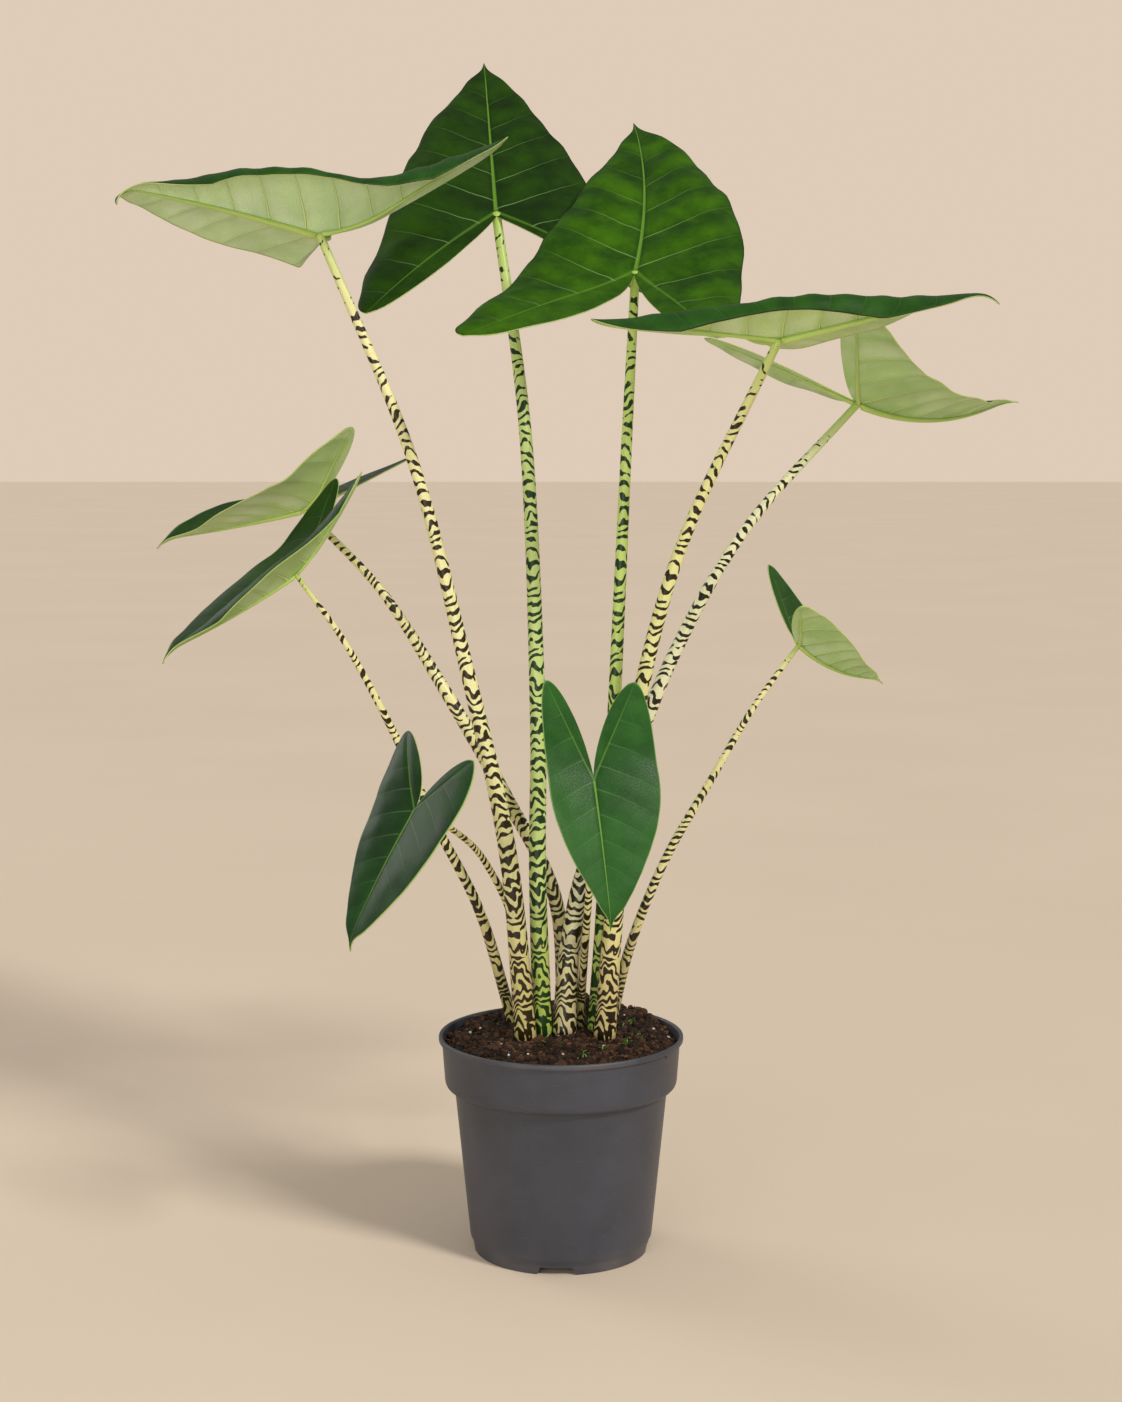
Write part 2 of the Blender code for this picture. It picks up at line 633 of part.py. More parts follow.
def make_blade(leaf, collection, finish):
    """An arrow-shaped blade: a fan of cells round the joint, bent, then given its thickness."""
    halves = [half_margin(outline, leaf.length) for outline in leaf.outlines]
    margin = [(0, point) for point in reversed(halves[0])] + [(1, point) for point in halves[1][1:]]
    course = midrib_course(leaf)
    columns = len(margin) - 1
    frame = bmesh.new()
    bmesh.ops.create_grid(frame, x_segments=columns, y_segments=BLADE_ROWS, size=0.5)
    for vert in frame.verts:
        side, edge = margin[round((vert.co.x + 0.5) * columns)]
        vert.co = blade_point(leaf, course, side, edge, vert.co.y + 0.5)
    bmesh.ops.remove_doubles(frame, verts=frame.verts, dist=0.00005)
    mesh = bpy.data.meshes.new("blade_" + leaf.name)
    frame.to_mesh(mesh)
    frame.free()
    blade = new_object("blade_" + leaf.name, mesh, collection, finish)
    blade.matrix_basis = blade_frame(leaf)
    mesh.shade_smooth()
    thick = blade.modifiers.new("thickness", "SOLIDIFY")
    thick.thickness = BLADE_THICKNESS
    thick.offset = 0.0
    return blade


def main():
    """Build the plant and its pot in an empty scene."""
    for made in list(bpy.data.objects):
        bpy.data.objects.remove(made)
    parts = bpy.data.collections.new("potted_alocasia")
    cutters = bpy.data.collections.new("cutters")
    bpy.context.scene.collection.children.link(parts)
    bpy.context.scene.collection.children.link(cutters)
    axis = bpy.data.objects.new("pot_axis", None)
    axis.location = (AXIS_X, AXIS_Y, 0.0)
    parts.objects.link(axis)
    make_pot(parts, cutters, material("charcoal_plastic", CHARCOAL, 0.55))
    make_soil(parts, cutters, material("potting_mix", PEAT, 0.95))
    stalk = material("zebra_petiole", CREAM_GREEN, 0.45)
    green = material("leaf_blade", LEAF_GREEN, 0.35)
    for leaf in LEAVES:
        blade = make_blade(leaf, parts, green)
        bpy.context.view_layer.update()
        make_petiole(leaf, blade, parts, stalk)


main()
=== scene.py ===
"""Looks of the potted alocasia: blades with their ribs, zebra petioles, potting mix and nursery pot.

Metres, +Z up, -Y is the front. Places on the plant are measured from the axis of the pot, which the
packed pot gives, and every finished piece has its place in its mesh.
"""

import random
from dataclasses import dataclass
from math import atan2, comb, cos, exp, hypot, pi, radians, sin, sqrt, tau

import bmesh
import bpy
from mathutils import Matrix, Vector, noise


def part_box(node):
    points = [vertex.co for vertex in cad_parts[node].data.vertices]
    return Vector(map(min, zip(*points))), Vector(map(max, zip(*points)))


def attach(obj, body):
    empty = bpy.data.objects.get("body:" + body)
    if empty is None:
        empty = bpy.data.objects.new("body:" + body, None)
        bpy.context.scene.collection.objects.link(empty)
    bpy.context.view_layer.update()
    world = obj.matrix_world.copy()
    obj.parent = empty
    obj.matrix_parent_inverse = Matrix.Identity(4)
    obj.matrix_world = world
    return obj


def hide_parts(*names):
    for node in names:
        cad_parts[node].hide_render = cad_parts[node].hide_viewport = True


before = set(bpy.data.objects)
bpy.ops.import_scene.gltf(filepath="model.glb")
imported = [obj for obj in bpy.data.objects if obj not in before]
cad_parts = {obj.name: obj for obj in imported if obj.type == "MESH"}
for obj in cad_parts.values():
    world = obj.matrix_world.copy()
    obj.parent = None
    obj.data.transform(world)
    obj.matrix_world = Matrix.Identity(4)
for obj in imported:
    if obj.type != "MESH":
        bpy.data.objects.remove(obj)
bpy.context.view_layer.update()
pot_low, pot_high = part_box("pot")
AXIS = Vector(((pot_low.x + pot_high.x) / 2, (pot_low.y + pot_high.y) / 2, 0.0))

# Pot
POT_HEIGHT = pot_high.z
RIM_RADIUS = (pot_high.x - pot_low.x) / 2
RIM_DROP = 0.005
RIM_TOP = 0.0026
COLLAR_TOP_RADIUS = 0.1022
COLLAR_BOTTOM_RADIUS = 0.0994
COLLAR_DEPTH = 0.0435
STEP_RADIUS = 0.0915
STEP_DROP = 0.0012
BODY_FOOT_RADIUS = 0.0785
BODY_FOOT_HEIGHT = 0.013
FOOT_RADIUS = 0.0750
WALL = 0.0020
BASE_LIFT = 0.008
FOOT_RING = 0.005
NOTCH_TURN = -3.0
NOTCHES = 4
NOTCH_FLOOR_WIDTH = 0.033
NOTCH_TOP_WIDTH = 0.027
NOTCH_HEIGHT = 0.0065
NOTCH_REACH = 0.024
DRAINS = 8
DRAIN_RADIUS = 0.006
DRAIN_CIRCLE = 0.050
POT_STEPS = 160
SHARP_ANGLE = 50

# Potting mix
MOUND = [(0.0, 0.1895), (0.045, 0.1890), (0.070, 0.1865), (0.088, 0.1822), (0.1002, 0.1796)]
SOIL_TOP = 0.19
SOIL_GAP = 0.0006
SOIL_CORNER = 0.006
SOIL_STEPS = 150
SOIL_RINGS = 64
LUMP_HEIGHT = 0.0050
LUMP_SCALE = 34
CRUMB_HEIGHT = 0.0014
CRUMB_SCALE = 150
BACK_RISE = 0.0075
GRAIN_REACH = 0.098
DENT = 0.35
SPROUT_SPREAD = 0.0045
SPROUT_HEIGHTS = (0.0010, 0.0042)
SPROUT_LEANS = (0.002, 0.007)
SPROUT_WIDTH = 0.0009
SPROUT_THICKNESS = 0.00025
SPROUT_SINK = 0.0008
SPROUT_CLUMPS = [(0.052, -0.030, 14), (0.066, -0.004, 16), (0.036, -0.052, 12), (0.060, 0.030, 12),
                 (-0.004, -0.034, 10), (0.020, -0.064, 7), (0.048, 0.010, 10), (-0.046, -0.030, 7)]

# Petioles
ROUTE_STEPS = 16
ROUND_STEPS = 20
SOCKET_SHOWN = 0.010
TIP_DOME = 0.75
DOME = [(0.0, 1.08), (0.35, 1.0), (0.6, 0.72), (0.72, 0.36), (TIP_DOME, 0.01)]
SHEATH_LENGTH = 0.14
SHEATH_OVAL = 0.05
GROOVE_TURN = pi * 0.9
GROOVE_WIDTH = 0.22
GROOVE_DEPTH = 0.14

# Blades
BLADE_THICKNESS = 0.0009
BLADE_ROWS = 38
FRONT_STEPS = 34
LOBE_STEPS = 19
EDGE_ROLL_START = 0.70
EDGE_ROLL_FADE = 18.0
HOOK_START = 0.80
LOBE_BEND = 0.35
SINUS = 0.03
DRIP_TIP = 0.55
DRIP_START = 0.84
DRIP_END = 0.95
FLARE_FRONT = 0.7
FLARE_BACK = 0.6
MIDRIB_STEPS = 48
RIB_STEPS = 44
RIB_SIDES = 10
RIB_SINK = 0.85
MIDRIB_REACH = 0.97
MIDRIB_STOUTNESS = 0.85
LOBE_RIB_REACH = 0.86
LOBE_RIB_STOUTNESS = 0.55
RIB_TAPER = 0.8
RIB_END_RADIUS = 0.0003
RIB_GROOVE = 0.0007
RIB_GROOVE_WIDTH = 0.0025
POINTED = 0.00001
LATERALS = 6.0
FIRST_VEIN = 0.62
RIGHT_VEINS_SHIFT = 0.3
VEIN_SLANT = 0.38
VEIN_BOW = 0.45
VEIN_FAN = 0.40
TYPICAL_LENGTH = 0.2
QUILT_HEIGHT = 0.0009
RIPPLE_HEIGHT = 0.00384
SCALLOP = 0.010
STORED = ("vein", "rib", "edge", "out", "inner", "ahead")

# Camera
CAMERA_DISTANCE = 1.98
CAMERA_HEIGHT = 0.7036
CAMERA_DIP = 6.57
CAMERA_LENS = 60.52


def paint(red, green, blue):
    """The colour of three steps from 0 to 255, as they stand on a paint chart and all through this file."""
    def linear(step):
        share = step / 255
        return share / 12.92 if share <= 0.04045 else ((share + 0.055) / 1.055) ** 2.4
    return (linear(red), linear(green), linear(blue), 1.0)


# ---------------- shader tools

class Value:
    """A number that varies over a surface. Arithmetic on it adds Math nodes."""

    def __init__(self, finish, socket):
        self.finish = finish
        self.socket = socket

    def rise(self, low, high):
        """A smooth step from 0 at low to 1 at high, where low may be the larger."""
        sockets = {"Value": self, "From Min": low, "From Max": high}
        step = self.finish.node("MapRange", {"interpolation_type": "SMOOTHSTEP"}, sockets)
        return Value(self.finish, step.outputs["Result"])


def arithmetic(operation, swapped=False):
    """A method of Value that adds one kind of Math node."""
    def method(value, other):
        terms = (other, value) if swapped else (value, other)
        return value.finish.maths(operation, *terms)
    return method


Value.__add__ = Value.__radd__ = arithmetic("ADD")
Value.__mul__ = Value.__rmul__ = arithmetic("MULTIPLY")
Value.__sub__ = arithmetic("SUBTRACT")
Value.__rsub__ = arithmetic("SUBTRACT", True)
Value.__truediv__ = arithmetic("DIVIDE")


class Finish:
    """A surface finish: a Principled shader and the nodes that feed it."""

    def __init__(self, name, roughness=0.5, **constants):
        self.material = bpy.data.materials.new(name)
        self.material.use_nodes = True
        self.tree = self.material.node_tree
        self.shader = self.tree.nodes["Principled BSDF"]
        self.set("Roughness", roughness)
        for socket, value in constants.items():
            self.set(socket.replace("_", " "), value)

    def node(self, kind, settings=None, sockets=None):
        """Add a node: first its settings, then the values or links of its sockets."""
        made = self.tree.nodes.new("ShaderNode" + kind)
        for name, value in (settings or {}).items():
            setattr(made, name, value)
        for name, value in (sockets or {}).items():
            self.feed(made.inputs[name], value)
        return made

    def feed(self, socket, value):
        """Link a value or a socket into a socket, or set a plain number or colour on it."""
        if isinstance(value, Value):
            value = value.socket
        if isinstance(value, bpy.types.NodeSocket):
            self.tree.links.new(value, socket)
        else:
            socket.default_value = value

    def set(self, socket, value):
        """Feed a socket of the shader itself."""
        self.feed(self.shader.inputs[socket], value)

    def maths(self, operation, first, second=0.0):
        """The result of a Math node."""
        return Value(self, self.node("Math", {"operation": operation}, {0: first, 1: second}).outputs[0])

    def attribute(self, name):
        """A number stored on the piece's points."""
        return Value(self, self.node("Attribute", {"attribute_name": name}).outputs["Fac"])

    def place_on(self, name):
        """A place stored on the piece's points."""
        return self.node("Attribute", {"attribute_name": name}).outputs["Vector"]

    def object_place(self):
        """The place in the piece's own coordinates."""
        return self.node("TexCoord").outputs["Object"]

    def part_of(self, place, axis):
        """One coordinate of a place: 0, 1 or 2 for X, Y or Z."""
        return Value(self, self.node("SeparateXYZ", None, {0: place}).outputs[axis])

    def noise(self, scale, detail=2.0, roughness=0.5, at=None):
        """Cloudy noise from 0 to 1."""
        sockets = {"Vector": at or self.object_place(), "Scale": scale, "Detail": detail,
                   "Roughness": roughness}
        return Value(self, self.node("TexNoise", None, sockets).outputs["Fac"])

    def drawn_out(self, place, scales, detail=2.0, roughness=0.5):
        """Noise at a place, with a scale of its own along each axis."""
        sockets = {0: place, 1: scales}
        at = self.node("VectorMath", {"operation": "MULTIPLY"}, sockets).outputs[0]
        return self.noise(1.0, detail, roughness, at)

    def cells(self, scale, feature="F1"):
        """Distance in a pattern of cells."""
        sockets = {"Vector": self.object_place(), "Scale": scale}
        return Value(self, self.node("TexVoronoi", {"feature": feature}, sockets).outputs["Distance"])

    def mix(self, share, first, second):
        """A colour a share of the way from the first to the second."""
        ends = [paint(*colour) if isinstance(colour, tuple) else colour for colour in (first, second)]
        sockets = {0: share, 6: ends[0], 7: ends[1]}
        return self.node("Mix", {"data_type": "RGBA"}, sockets).outputs[2]

    def base(self, share, first, second):
        """Start the colour: a share of the way from the first to the second."""
        self.colour = self.mix(share, first, second)

    def cover(self, share, colour):
        """Lay another colour over a share of the colour so far."""
        self.colour = self.mix(share, self.colour, colour)

    def bump(self, height, distance, strength=1.0, onto=None):
        """Small relief of a height, on top of other relief."""
        sockets = {"Height": height, "Distance": distance, "Strength": strength}
        if onto is not None:
            sockets["Normal"] = onto
        return self.node("Bump", None, sockets).outputs["Normal"]

    def done(self, relief=None, roughness=None):
        """The material, with its colour, relief and roughness fed into the shader."""
        for socket, value in (("Base Color", self.colour), ("Normal", relief), ("Roughness", roughness)):
            if value is not None:
                self.set(socket, value)
        return self.material


# ---------------- mesh tools

def mesh_from(made, name):
    """Turn a bmesh into a mesh."""
    mesh = bpy.data.meshes.new(name)
    made.to_mesh(mesh)
    made.free()
    return mesh


def placed(name, data):
    """A new object in the scene."""
    thing = bpy.data.objects.new(name, data)
    bpy.context.scene.collection.objects.link(thing)
    return thing


def rotate(made, verts, angle, axis):
    """Turn points of a bmesh about an axis through the origin."""
    bmesh.ops.rotate(made, verts=verts, cent=(0, 0, 0), matrix=Matrix.Rotation(angle, 3, axis))


def finished_piece(name, made, nodes, looks, smooth=True):
    """Turn a bmesh into a piece that stands on the pot's axis, rides on the plant and shows its looks."""
    bmesh.ops.translate(made, verts=made.verts, vec=AXIS)
    mesh = mesh_from(made, name)
    if smooth:
        mesh.shade_smooth()
    for look in looks:
        mesh.materials.append(look)
    piece = placed(name, mesh)
    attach(piece, "root")
    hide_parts(*nodes)
    return piece


def closed(made, gap):
    """The bmesh with its seams merged, facing outwards."""
    bmesh.ops.remove_doubles(made, verts=made.verts, dist=gap)
    bmesh.ops.recalc_face_normals(made, faces=made.faces)
    return made


def turned(profile, steps):
    """A bmesh turned from a profile of (radius, height) points, with its ends closed on the axis."""
    made = bmesh.new()
    line = [made.verts.new((radius, 0.0, height)) for radius, height in profile]
    edges = [made.edges.new(pair) for pair in zip(line, line[1:])]
    bmesh.ops.spin(made, geom=line + edges, cent=(0, 0, 0), axis=(0, 0, 1), dvec=(0, 0, 0),
                   angle=tau, steps=steps, use_merge=True, use_duplicate=False)
    return closed(made, 0.00002)


def bezier(controls, steps):
    """Points of a flat Bezier curve of any degree, both ends included."""
    degree = len(controls) - 1
    points = []
    for step in range(steps + 1):
        t = step / steps
        point = Vector((0, 0))
        for number, control in enumerate(controls):
            point += comb(degree, number) * (1 - t) ** (degree - number) * t ** number * Vector(control)
        points.append(point)
    return points


def rounded(corners, steps=4):
    """A profile with each corner (radius, height, rounding) turned into an arc."""
    points = []
    for number, (radius, height, rounding) in enumerate(corners):
        corner = Vector((radius, height))
        if rounding == 0 or number in (0, len(corners) - 1):
            points.append(corner)
            continue
        before = Vector(corners[number - 1][:2]) - corner
        after = Vector(corners[number + 1][:2]) - corner
        start = corner + before.normalized() * min(rounding, before.length * 0.45)
        end = corner + after.normalized() * min(rounding, after.length * 0.45)
        points += bezier((start, corner, end), steps)
    return points


def tube(course, radii, sides, around=None):
    """A bmesh tube along a course.

    Its points store their share of the way along, and where they would be if the tube were straight.
    around gives the outline: how far out the surface is at an angle and a step, in radii.
    """
    steps = len(course) - 1
    made = bmesh.new()
    bmesh.ops.create_grid(made, x_segments=sides, y_segments=steps, size=0.5)
    straight = made.verts.layers.float_vector.new("straight")
    share = made.verts.layers.float.new("share")
    sides_at = side_directions(course)
    lengths = [0.0]
    for start, end in zip(course, course[1:]):
        lengths.append(lengths[-1] + (end - start).length)
    for vert in made.verts:
        step = round((vert.co.y + 0.5) * steps)
        turn = tau * round((vert.co.x + 0.5) * sides) / sides
        out = radii[step] * (around(turn, step) if around else 1.0)
        side, other = sides_at[step]
        vert[straight] = Vector((cos(turn) * radii[step], sin(turn) * radii[step], lengths[step]))
        vert[share] = step / steps
        vert.co = course[step] + (side * cos(turn) + other * sin(turn)) * out
    return closed(made, 0.00001)


def side_directions(course):
    """Two directions square to a course at each of its points, turning as little as they can."""
    ahead = [(end - start).normalized() for start, end in zip(course, course[1:])]
    ahead.append(ahead[-1])
    side = ahead[0].cross(Vector((0, -1, 0.2))).normalized()
    found = []
    for direction in ahead:
        side = (side - direction * side.dot(direction)).normalized()
        found.append((side, direction.cross(side)))
    return found


def joined(parts):
    """One bmesh that holds several, keeping what is stored on their points and faces."""
    whole = bmesh.new()
    for part in parts:
        mesh = mesh_from(part, "part")
        whole.from_mesh(mesh)
        bpy.data.meshes.remove(mesh)
    return whole


# ---------------- leaves

@dataclass
class Outline:
    """Flat outline of half a blade, in midrib lengths.

    width is how far the margin stands out beside the joint. The lobe ends lobe behind the joint and
    spread out from the midrib's line. fullness rounds the front, plump rounds the lobe, and sinus
    keeps the lobe's inner margin out from the midrib's line.
    """

    width: float
    lobe: float
    spread: float
    fullness: float
    plump: float
    sinus: float


@dataclass
class Tone:
    """Colours of one leaf: shaded and lit top, underside painted paler than its own colour to stand in for
    light shining through the blade, and its petiole's ground, bands and foot.

    gloss is the top's roughness, veins says how plain the side veins are and pitch how far apart the
    petiole's bands lie.
    """

    deep: tuple
    fresh: tuple
    under: tuple
    gloss: float
    ground: tuple
    bands: tuple
    foot: tuple
    veins: float = 1.0
    pitch: float = 0.0085


@dataclass
class Leaf:
    """One leaf. Pairs are (left half, right half), seen along the midrib with the top side up.

    route runs from the soil to the joint, where the blade starts. radii are those at the soil, half
    way up and under the blade. Angles are in degrees. heading turns the midrib from +Y towards -X,
    pitch lifts the tip and roll lifts the left half. arch and hook bend the midrib and its tip down,
    sweep swings it to the right and twist turns it over. fold lifts the halves, a negative curl bows
    them down, drop lowers the lobes and edge rolls the margin under.
    """

    name: str
    tone: Tone
    route: list
    radii: tuple
    outlines: tuple
    length: float
    heading: float
    pitch: float
    roll: float = 0
    arch: float = 10
    hook: float = 40
    twist: float = 0
    sweep: float = 0
    fold: tuple = (15, 15)
    curl: tuple = (-15, -15)
    drop: tuple = (-20, -20)
    edge: tuple = (10, 10)


MATURE = Outline(0.39, 0.56, 0.48, 0.04, 0.90, 0.22)
WIDE_SINUS = Outline(0.39, 0.44, 0.54, 0.04, 0.90, 0.30)
FULL_LOBED = Outline(0.37, 0.61, 0.49, 0.04, 1.20, 0.06)
HANGING = Outline(0.38, 0.48, 0.34, 0.08, 1.10, 0.15)
LONG_LOBED = Outline(0.41, 0.70, 0.48, 0.06, 0.80, 0.29)
SWEPT = Outline(0.42, 0.90, 0.46, 0.06, 0.80, 0.27)
COMPACT = Outline(0.47, 0.42, 0.33, 0.18, 0.70, 0.08)
OPEN = Outline(0.37, 0.47, 0.49, 0.12, 0.70, 0.08)
YOUNG = Outline(0.37, 0.70, 0.32, 0.10, 0.70, 0.08)
TUCKED = Outline(0.36, 0.30, 0.22, 0.40, 0.80, 0.12)
SHORT_LOBED = Outline(0.43, 0.36, 0.45, 0.08, 0.70, 0.10)
BROAD_SIDE = Outline(0.43, 0.62, 0.33, 0.10, 0.75, 0.10)
SLENDER_SIDE = Outline(0.31, 0.66, 0.27, 0.0, 0.70, 0.10)

# Ground, bands and foot of a petiole
CREAM = ((232, 226, 168), (40, 28, 2), (190, 174, 104))
GREENISH = ((188, 206, 128), (16, 48, 8), (156, 176, 58))
LIME = ((190, 212, 116), (18, 52, 8), (150, 162, 72))
LEMON = ((226, 224, 156), (36, 24, 2), (200, 178, 120))
IVORY = ((230, 228, 190), (30, 24, 6), (190, 174, 120))
STRAW = ((230, 222, 164), (36, 28, 6), (182, 168, 100))

# The under colours are painted paler than the blades' own colour, to stand in for light shining through the
# blades.
UPPER_LEFT = Tone((18, 58, 4), (36, 88, 8), (204, 228, 172), 0.42, *CREAM, 0.8)
TOP_BACK = Tone((14, 42, 0), (40, 76, 0), (160, 190, 96), 0.55, *GREENISH)
TOP_FRONT = Tone((24, 62, 0), (64, 112, 0), (166, 196, 100), 0.55, *LIME, 1.0, 0.0095)
UPPER_RIGHT = Tone((20, 60, 8), (42, 92, 16), (196, 222, 148), 0.42, *LEMON, 0.8)
MIDDLE_RIGHT = Tone((20, 58, 10), (42, 88, 20), (176, 210, 134), 0.44, *IVORY, 0.6, 0.0075)
MIDDLE_LEFT = Tone((16, 44, 8), (34, 70, 14), (178, 206, 134), 0.40, *STRAW, 0.4, 0.0070)
LOWER_LEFT = Tone((12, 42, 12), (28, 70, 20), (170, 196, 126), 0.34, *STRAW, 0.30, 0.0065)
LOWER_FRONT = Tone((20, 68, 12), (40, 96, 24), (176, 202, 134), 0.40, *STRAW, 0.28, 0.0065)
LOWER_RIGHT = Tone((30, 64, 20), (50, 88, 34), (178, 208, 136), 0.44, *STRAW, 0.4, 0.0060)

LEAVES = [
    Leaf("upper_left", UPPER_LEFT, [
        (-0.030, -0.020, 0.190), (-0.045, -0.020, 0.350), (-0.078, -0.015, 0.500),
        (-0.124, -0.010, 0.680), (-0.200, 0.000, 0.865)],
        (0.0090, 0.0062, 0.0034), (SWEPT, TUCKED), 0.182,
        heading=108, pitch=15, roll=34, hook=95,
        fold=(20, 20), curl=(-10, -14), drop=(-33, -66), edge=(100, 10)),
    Leaf("top_back", TOP_BACK, [
        (-0.016, -0.006, 0.190), (-0.020, 0.000, 0.330), (-0.020, 0.014, 0.470),
        (-0.0305, 0.055, 0.700), (-0.0567, 0.110, 0.892)],
        (0.0080, 0.0068, 0.0040), (MATURE, WIDE_SINUS), 0.240,
        heading=5, pitch=41, arch=0, hook=10,
        fold=(10, 10), curl=(-20, -20), drop=(0, 0), edge=(15, 5)),
    Leaf("top_front", TOP_FRONT, [
        (0.030, 0.004, 0.190), (0.036, -0.010, 0.300), (0.044, -0.020, 0.460),
        (0.054, -0.010, 0.680), (0.062, 0.010, 0.835)],
        (0.0072, 0.0056, 0.0036), (FULL_LOBED, HANGING), 0.24,
        heading=-12, pitch=40, roll=5, arch=5, hook=5, sweep=-17,
        fold=(10, 17), curl=(-10, -25), drop=(-13, -10), edge=(15, 20)),
    Leaf("upper_right", UPPER_RIGHT, [
        (0.037, -0.020, 0.190), (0.045, -0.026, 0.300), (0.060, -0.040, 0.455),
        (0.098, -0.065, 0.610), (0.172, -0.105, 0.775)],
        (0.0092, 0.0068, 0.0034), (LONG_LOBED, LONG_LOBED), 0.18,
        heading=-112, pitch=12, roll=-14, arch=0, hook=60,
        fold=(20, 15), curl=(-15, 0), drop=(-35, 0), edge=(10, 120)),
    Leaf("middle_right", MIDDLE_RIGHT, [
        (0.003, -0.004, 0.190), (0.007, 0.004, 0.255), (0.020, 0.012, 0.325),
        (0.048, 0.022, 0.390), (0.097, 0.045, 0.510), (0.162, 0.070, 0.620), (0.260, 0.095, 0.727)],
        (0.0100, 0.0070, 0.0032), (MATURE, MATURE), 0.20,
        heading=-55, pitch=-18, arch=-42, hook=30,
        fold=(15, 25), curl=(-10, -10), drop=(-6, -10), edge=(0, 10)),
    Leaf("middle_left_back", MIDDLE_LEFT, [
        (0.003, 0.024, 0.190), (-0.005, 0.026, 0.300), (-0.048, 0.030, 0.390),
        (-0.100, 0.040, 0.480), (-0.156, 0.060, 0.565), (-0.225, 0.080, 0.635)],
        (0.0062, 0.0060, 0.0026), (BROAD_SIDE, YOUNG), 0.145,
        heading=75, pitch=-14, roll=10, arch=-5, twist=-38,
        fold=(20, 30), curl=(-15, -10), drop=(-30, -8), edge=(0, 0)),
    Leaf("middle_left_front", MIDDLE_LEFT, [
        (-0.042, 0.030, 0.190), (-0.070, 0.020, 0.290), (-0.108, 0.010, 0.370),
        (-0.140, 0.000, 0.445), (-0.180, -0.015, 0.525), (-0.220, -0.030, 0.585)],
        (0.0048, 0.0038, 0.0019), (YOUNG, YOUNG), 0.135,
        heading=115, pitch=-33, roll=10, arch=-10, hook=45,
        fold=(30, 30), curl=(-5, -5), drop=(-15, -18), edge=(60, 10)),
    Leaf("lower_left", LOWER_LEFT, [
        (-0.026, 0.014, 0.190), (-0.040, 0.010, 0.280), (-0.065, -0.030, 0.345),
        (-0.090, -0.080, 0.380), (-0.115, -0.150, 0.407)],
        (0.0036, 0.0028, 0.0022), (COMPACT, OPEN), 0.123,
        heading=121, pitch=-55, roll=-8, hook=30,
        fold=(10, 20), curl=(-10, -20), drop=(0, 5)),
    Leaf("lower_front", LOWER_FRONT, [
        (0.016, 0.012, 0.190), (0.020, -0.005, 0.260), (0.025, -0.050, 0.340),
        (0.030, -0.095, 0.395), (0.026, -0.145, 0.430)],
        (0.0036, 0.0030, 0.0022), (BROAD_SIDE, SLENDER_SIDE), 0.122,
        heading=-162, pitch=-65, roll=5, hook=35,
        fold=(10, 5), curl=(-15, 0), drop=(-15, -15), edge=(5, 0)),
    Leaf("lower_right", LOWER_RIGHT, [
        (0.043, 0.020, 0.190), (0.060, 0.022, 0.260), (0.090, 0.025, 0.335),
        (0.130, 0.030, 0.405), (0.165, 0.035, 0.465), (0.205, 0.040, 0.520)],
        (0.0046, 0.0036, 0.0021), (YOUNG, SHORT_LOBED), 0.098,
        heading=-62, pitch=-40, arch=-40,
        fold=(70, 38), curl=(-10, -10), drop=(-10, 20), edge=(0, 10)),
]


def step_up(value, low, high):
    """A smooth step from 0 at low to 1 at high."""
    share = min(1.0, max(0.0, (value - low) / (high - low)))
    return share * share * (3 - 2 * share)


def smooth_route(points, steps):
    """Points of a smooth curve (Catmull-Rom) through the given ones, steps to a stretch."""
    knots = [Vector(point) for point in points]
    knots = [2 * knots[0] - knots[1]] + knots + [2 * knots[-1] - knots[-2]]
    course = []
    for before, start, end, after in zip(knots, knots[1:], knots[2:], knots[3:]):
        for step in range(steps):
            t = step / steps
            course.append(0.5 * (2 * start + (end - before) * t
                                 + (2 * before - 5 * start + 4 * end - after) * t ** 2
                                 + (3 * start - before - 3 * end + after) * t ** 3))
    course.append(knots[-2])
    return course


def half_margin(outline, length):
    """Margin of one half of the flat blade: x out from the midrib, y forward.

    Three curves follow one another: from the tip to the shoulder, the lobe's tip and the joint.
    """
    width, lobe, spread = outline.width, outline.lobe, outline.spread
    plump = width * outline.plump
    shoulder = (width, 0.02)
    lobe_tip = (spread, -lobe)
    flare = max(0.0, spread - width)
    front = bezier([(0, 1), ((0.12 + outline.fullness) * width, 0.80),
                    (width - FLARE_FRONT * flare, 0.50), shoulder], FRONT_STEPS)
    outer = bezier([shoulder, (width + FLARE_BACK * flare, -0.40 * lobe),
                    (spread + 0.25 * plump, -0.92 * lobe), lobe_tip], LOBE_STEPS)
    inner = bezier([lobe_tip, (spread - 0.35 * plump, -1.04 * lobe),
                    (outline.sinus * width, (outline.sinus - 0.60) * lobe), (0, -SINUS)], LOBE_STEPS)
    for point in front:
        point.x *= 1 - DRIP_TIP * step_up(point.y, DRIP_START, DRIP_END)
    return [point * length for point in front + outer[1:] + inner[1:]]


def arc(length, turn):
    """End of an arc that starts level and turns up evenly: how far along, how far up."""
    if abs(turn) < 1e-6:
        return length, 0.0
    chord = length * sin(turn / 2) / (turn / 2)
    return chord * cos(turn / 2), chord * sin(turn / 2)


def lobe_bend(leaf, side, back):
    """Tilt of a lobe at a way behind the joint, and how far behind and below the joint it is there."""
    bend = LOBE_BEND * leaf.outlines[side].lobe * leaf.length
    drop = radians(leaf.drop[side]) * min(1.0, back / bend)
    behind, below = arc(min(back, bend), drop)
    beyond = max(0.0, back - bend)
    return drop, behind + beyond * cos(drop), below + beyond * sin(drop)


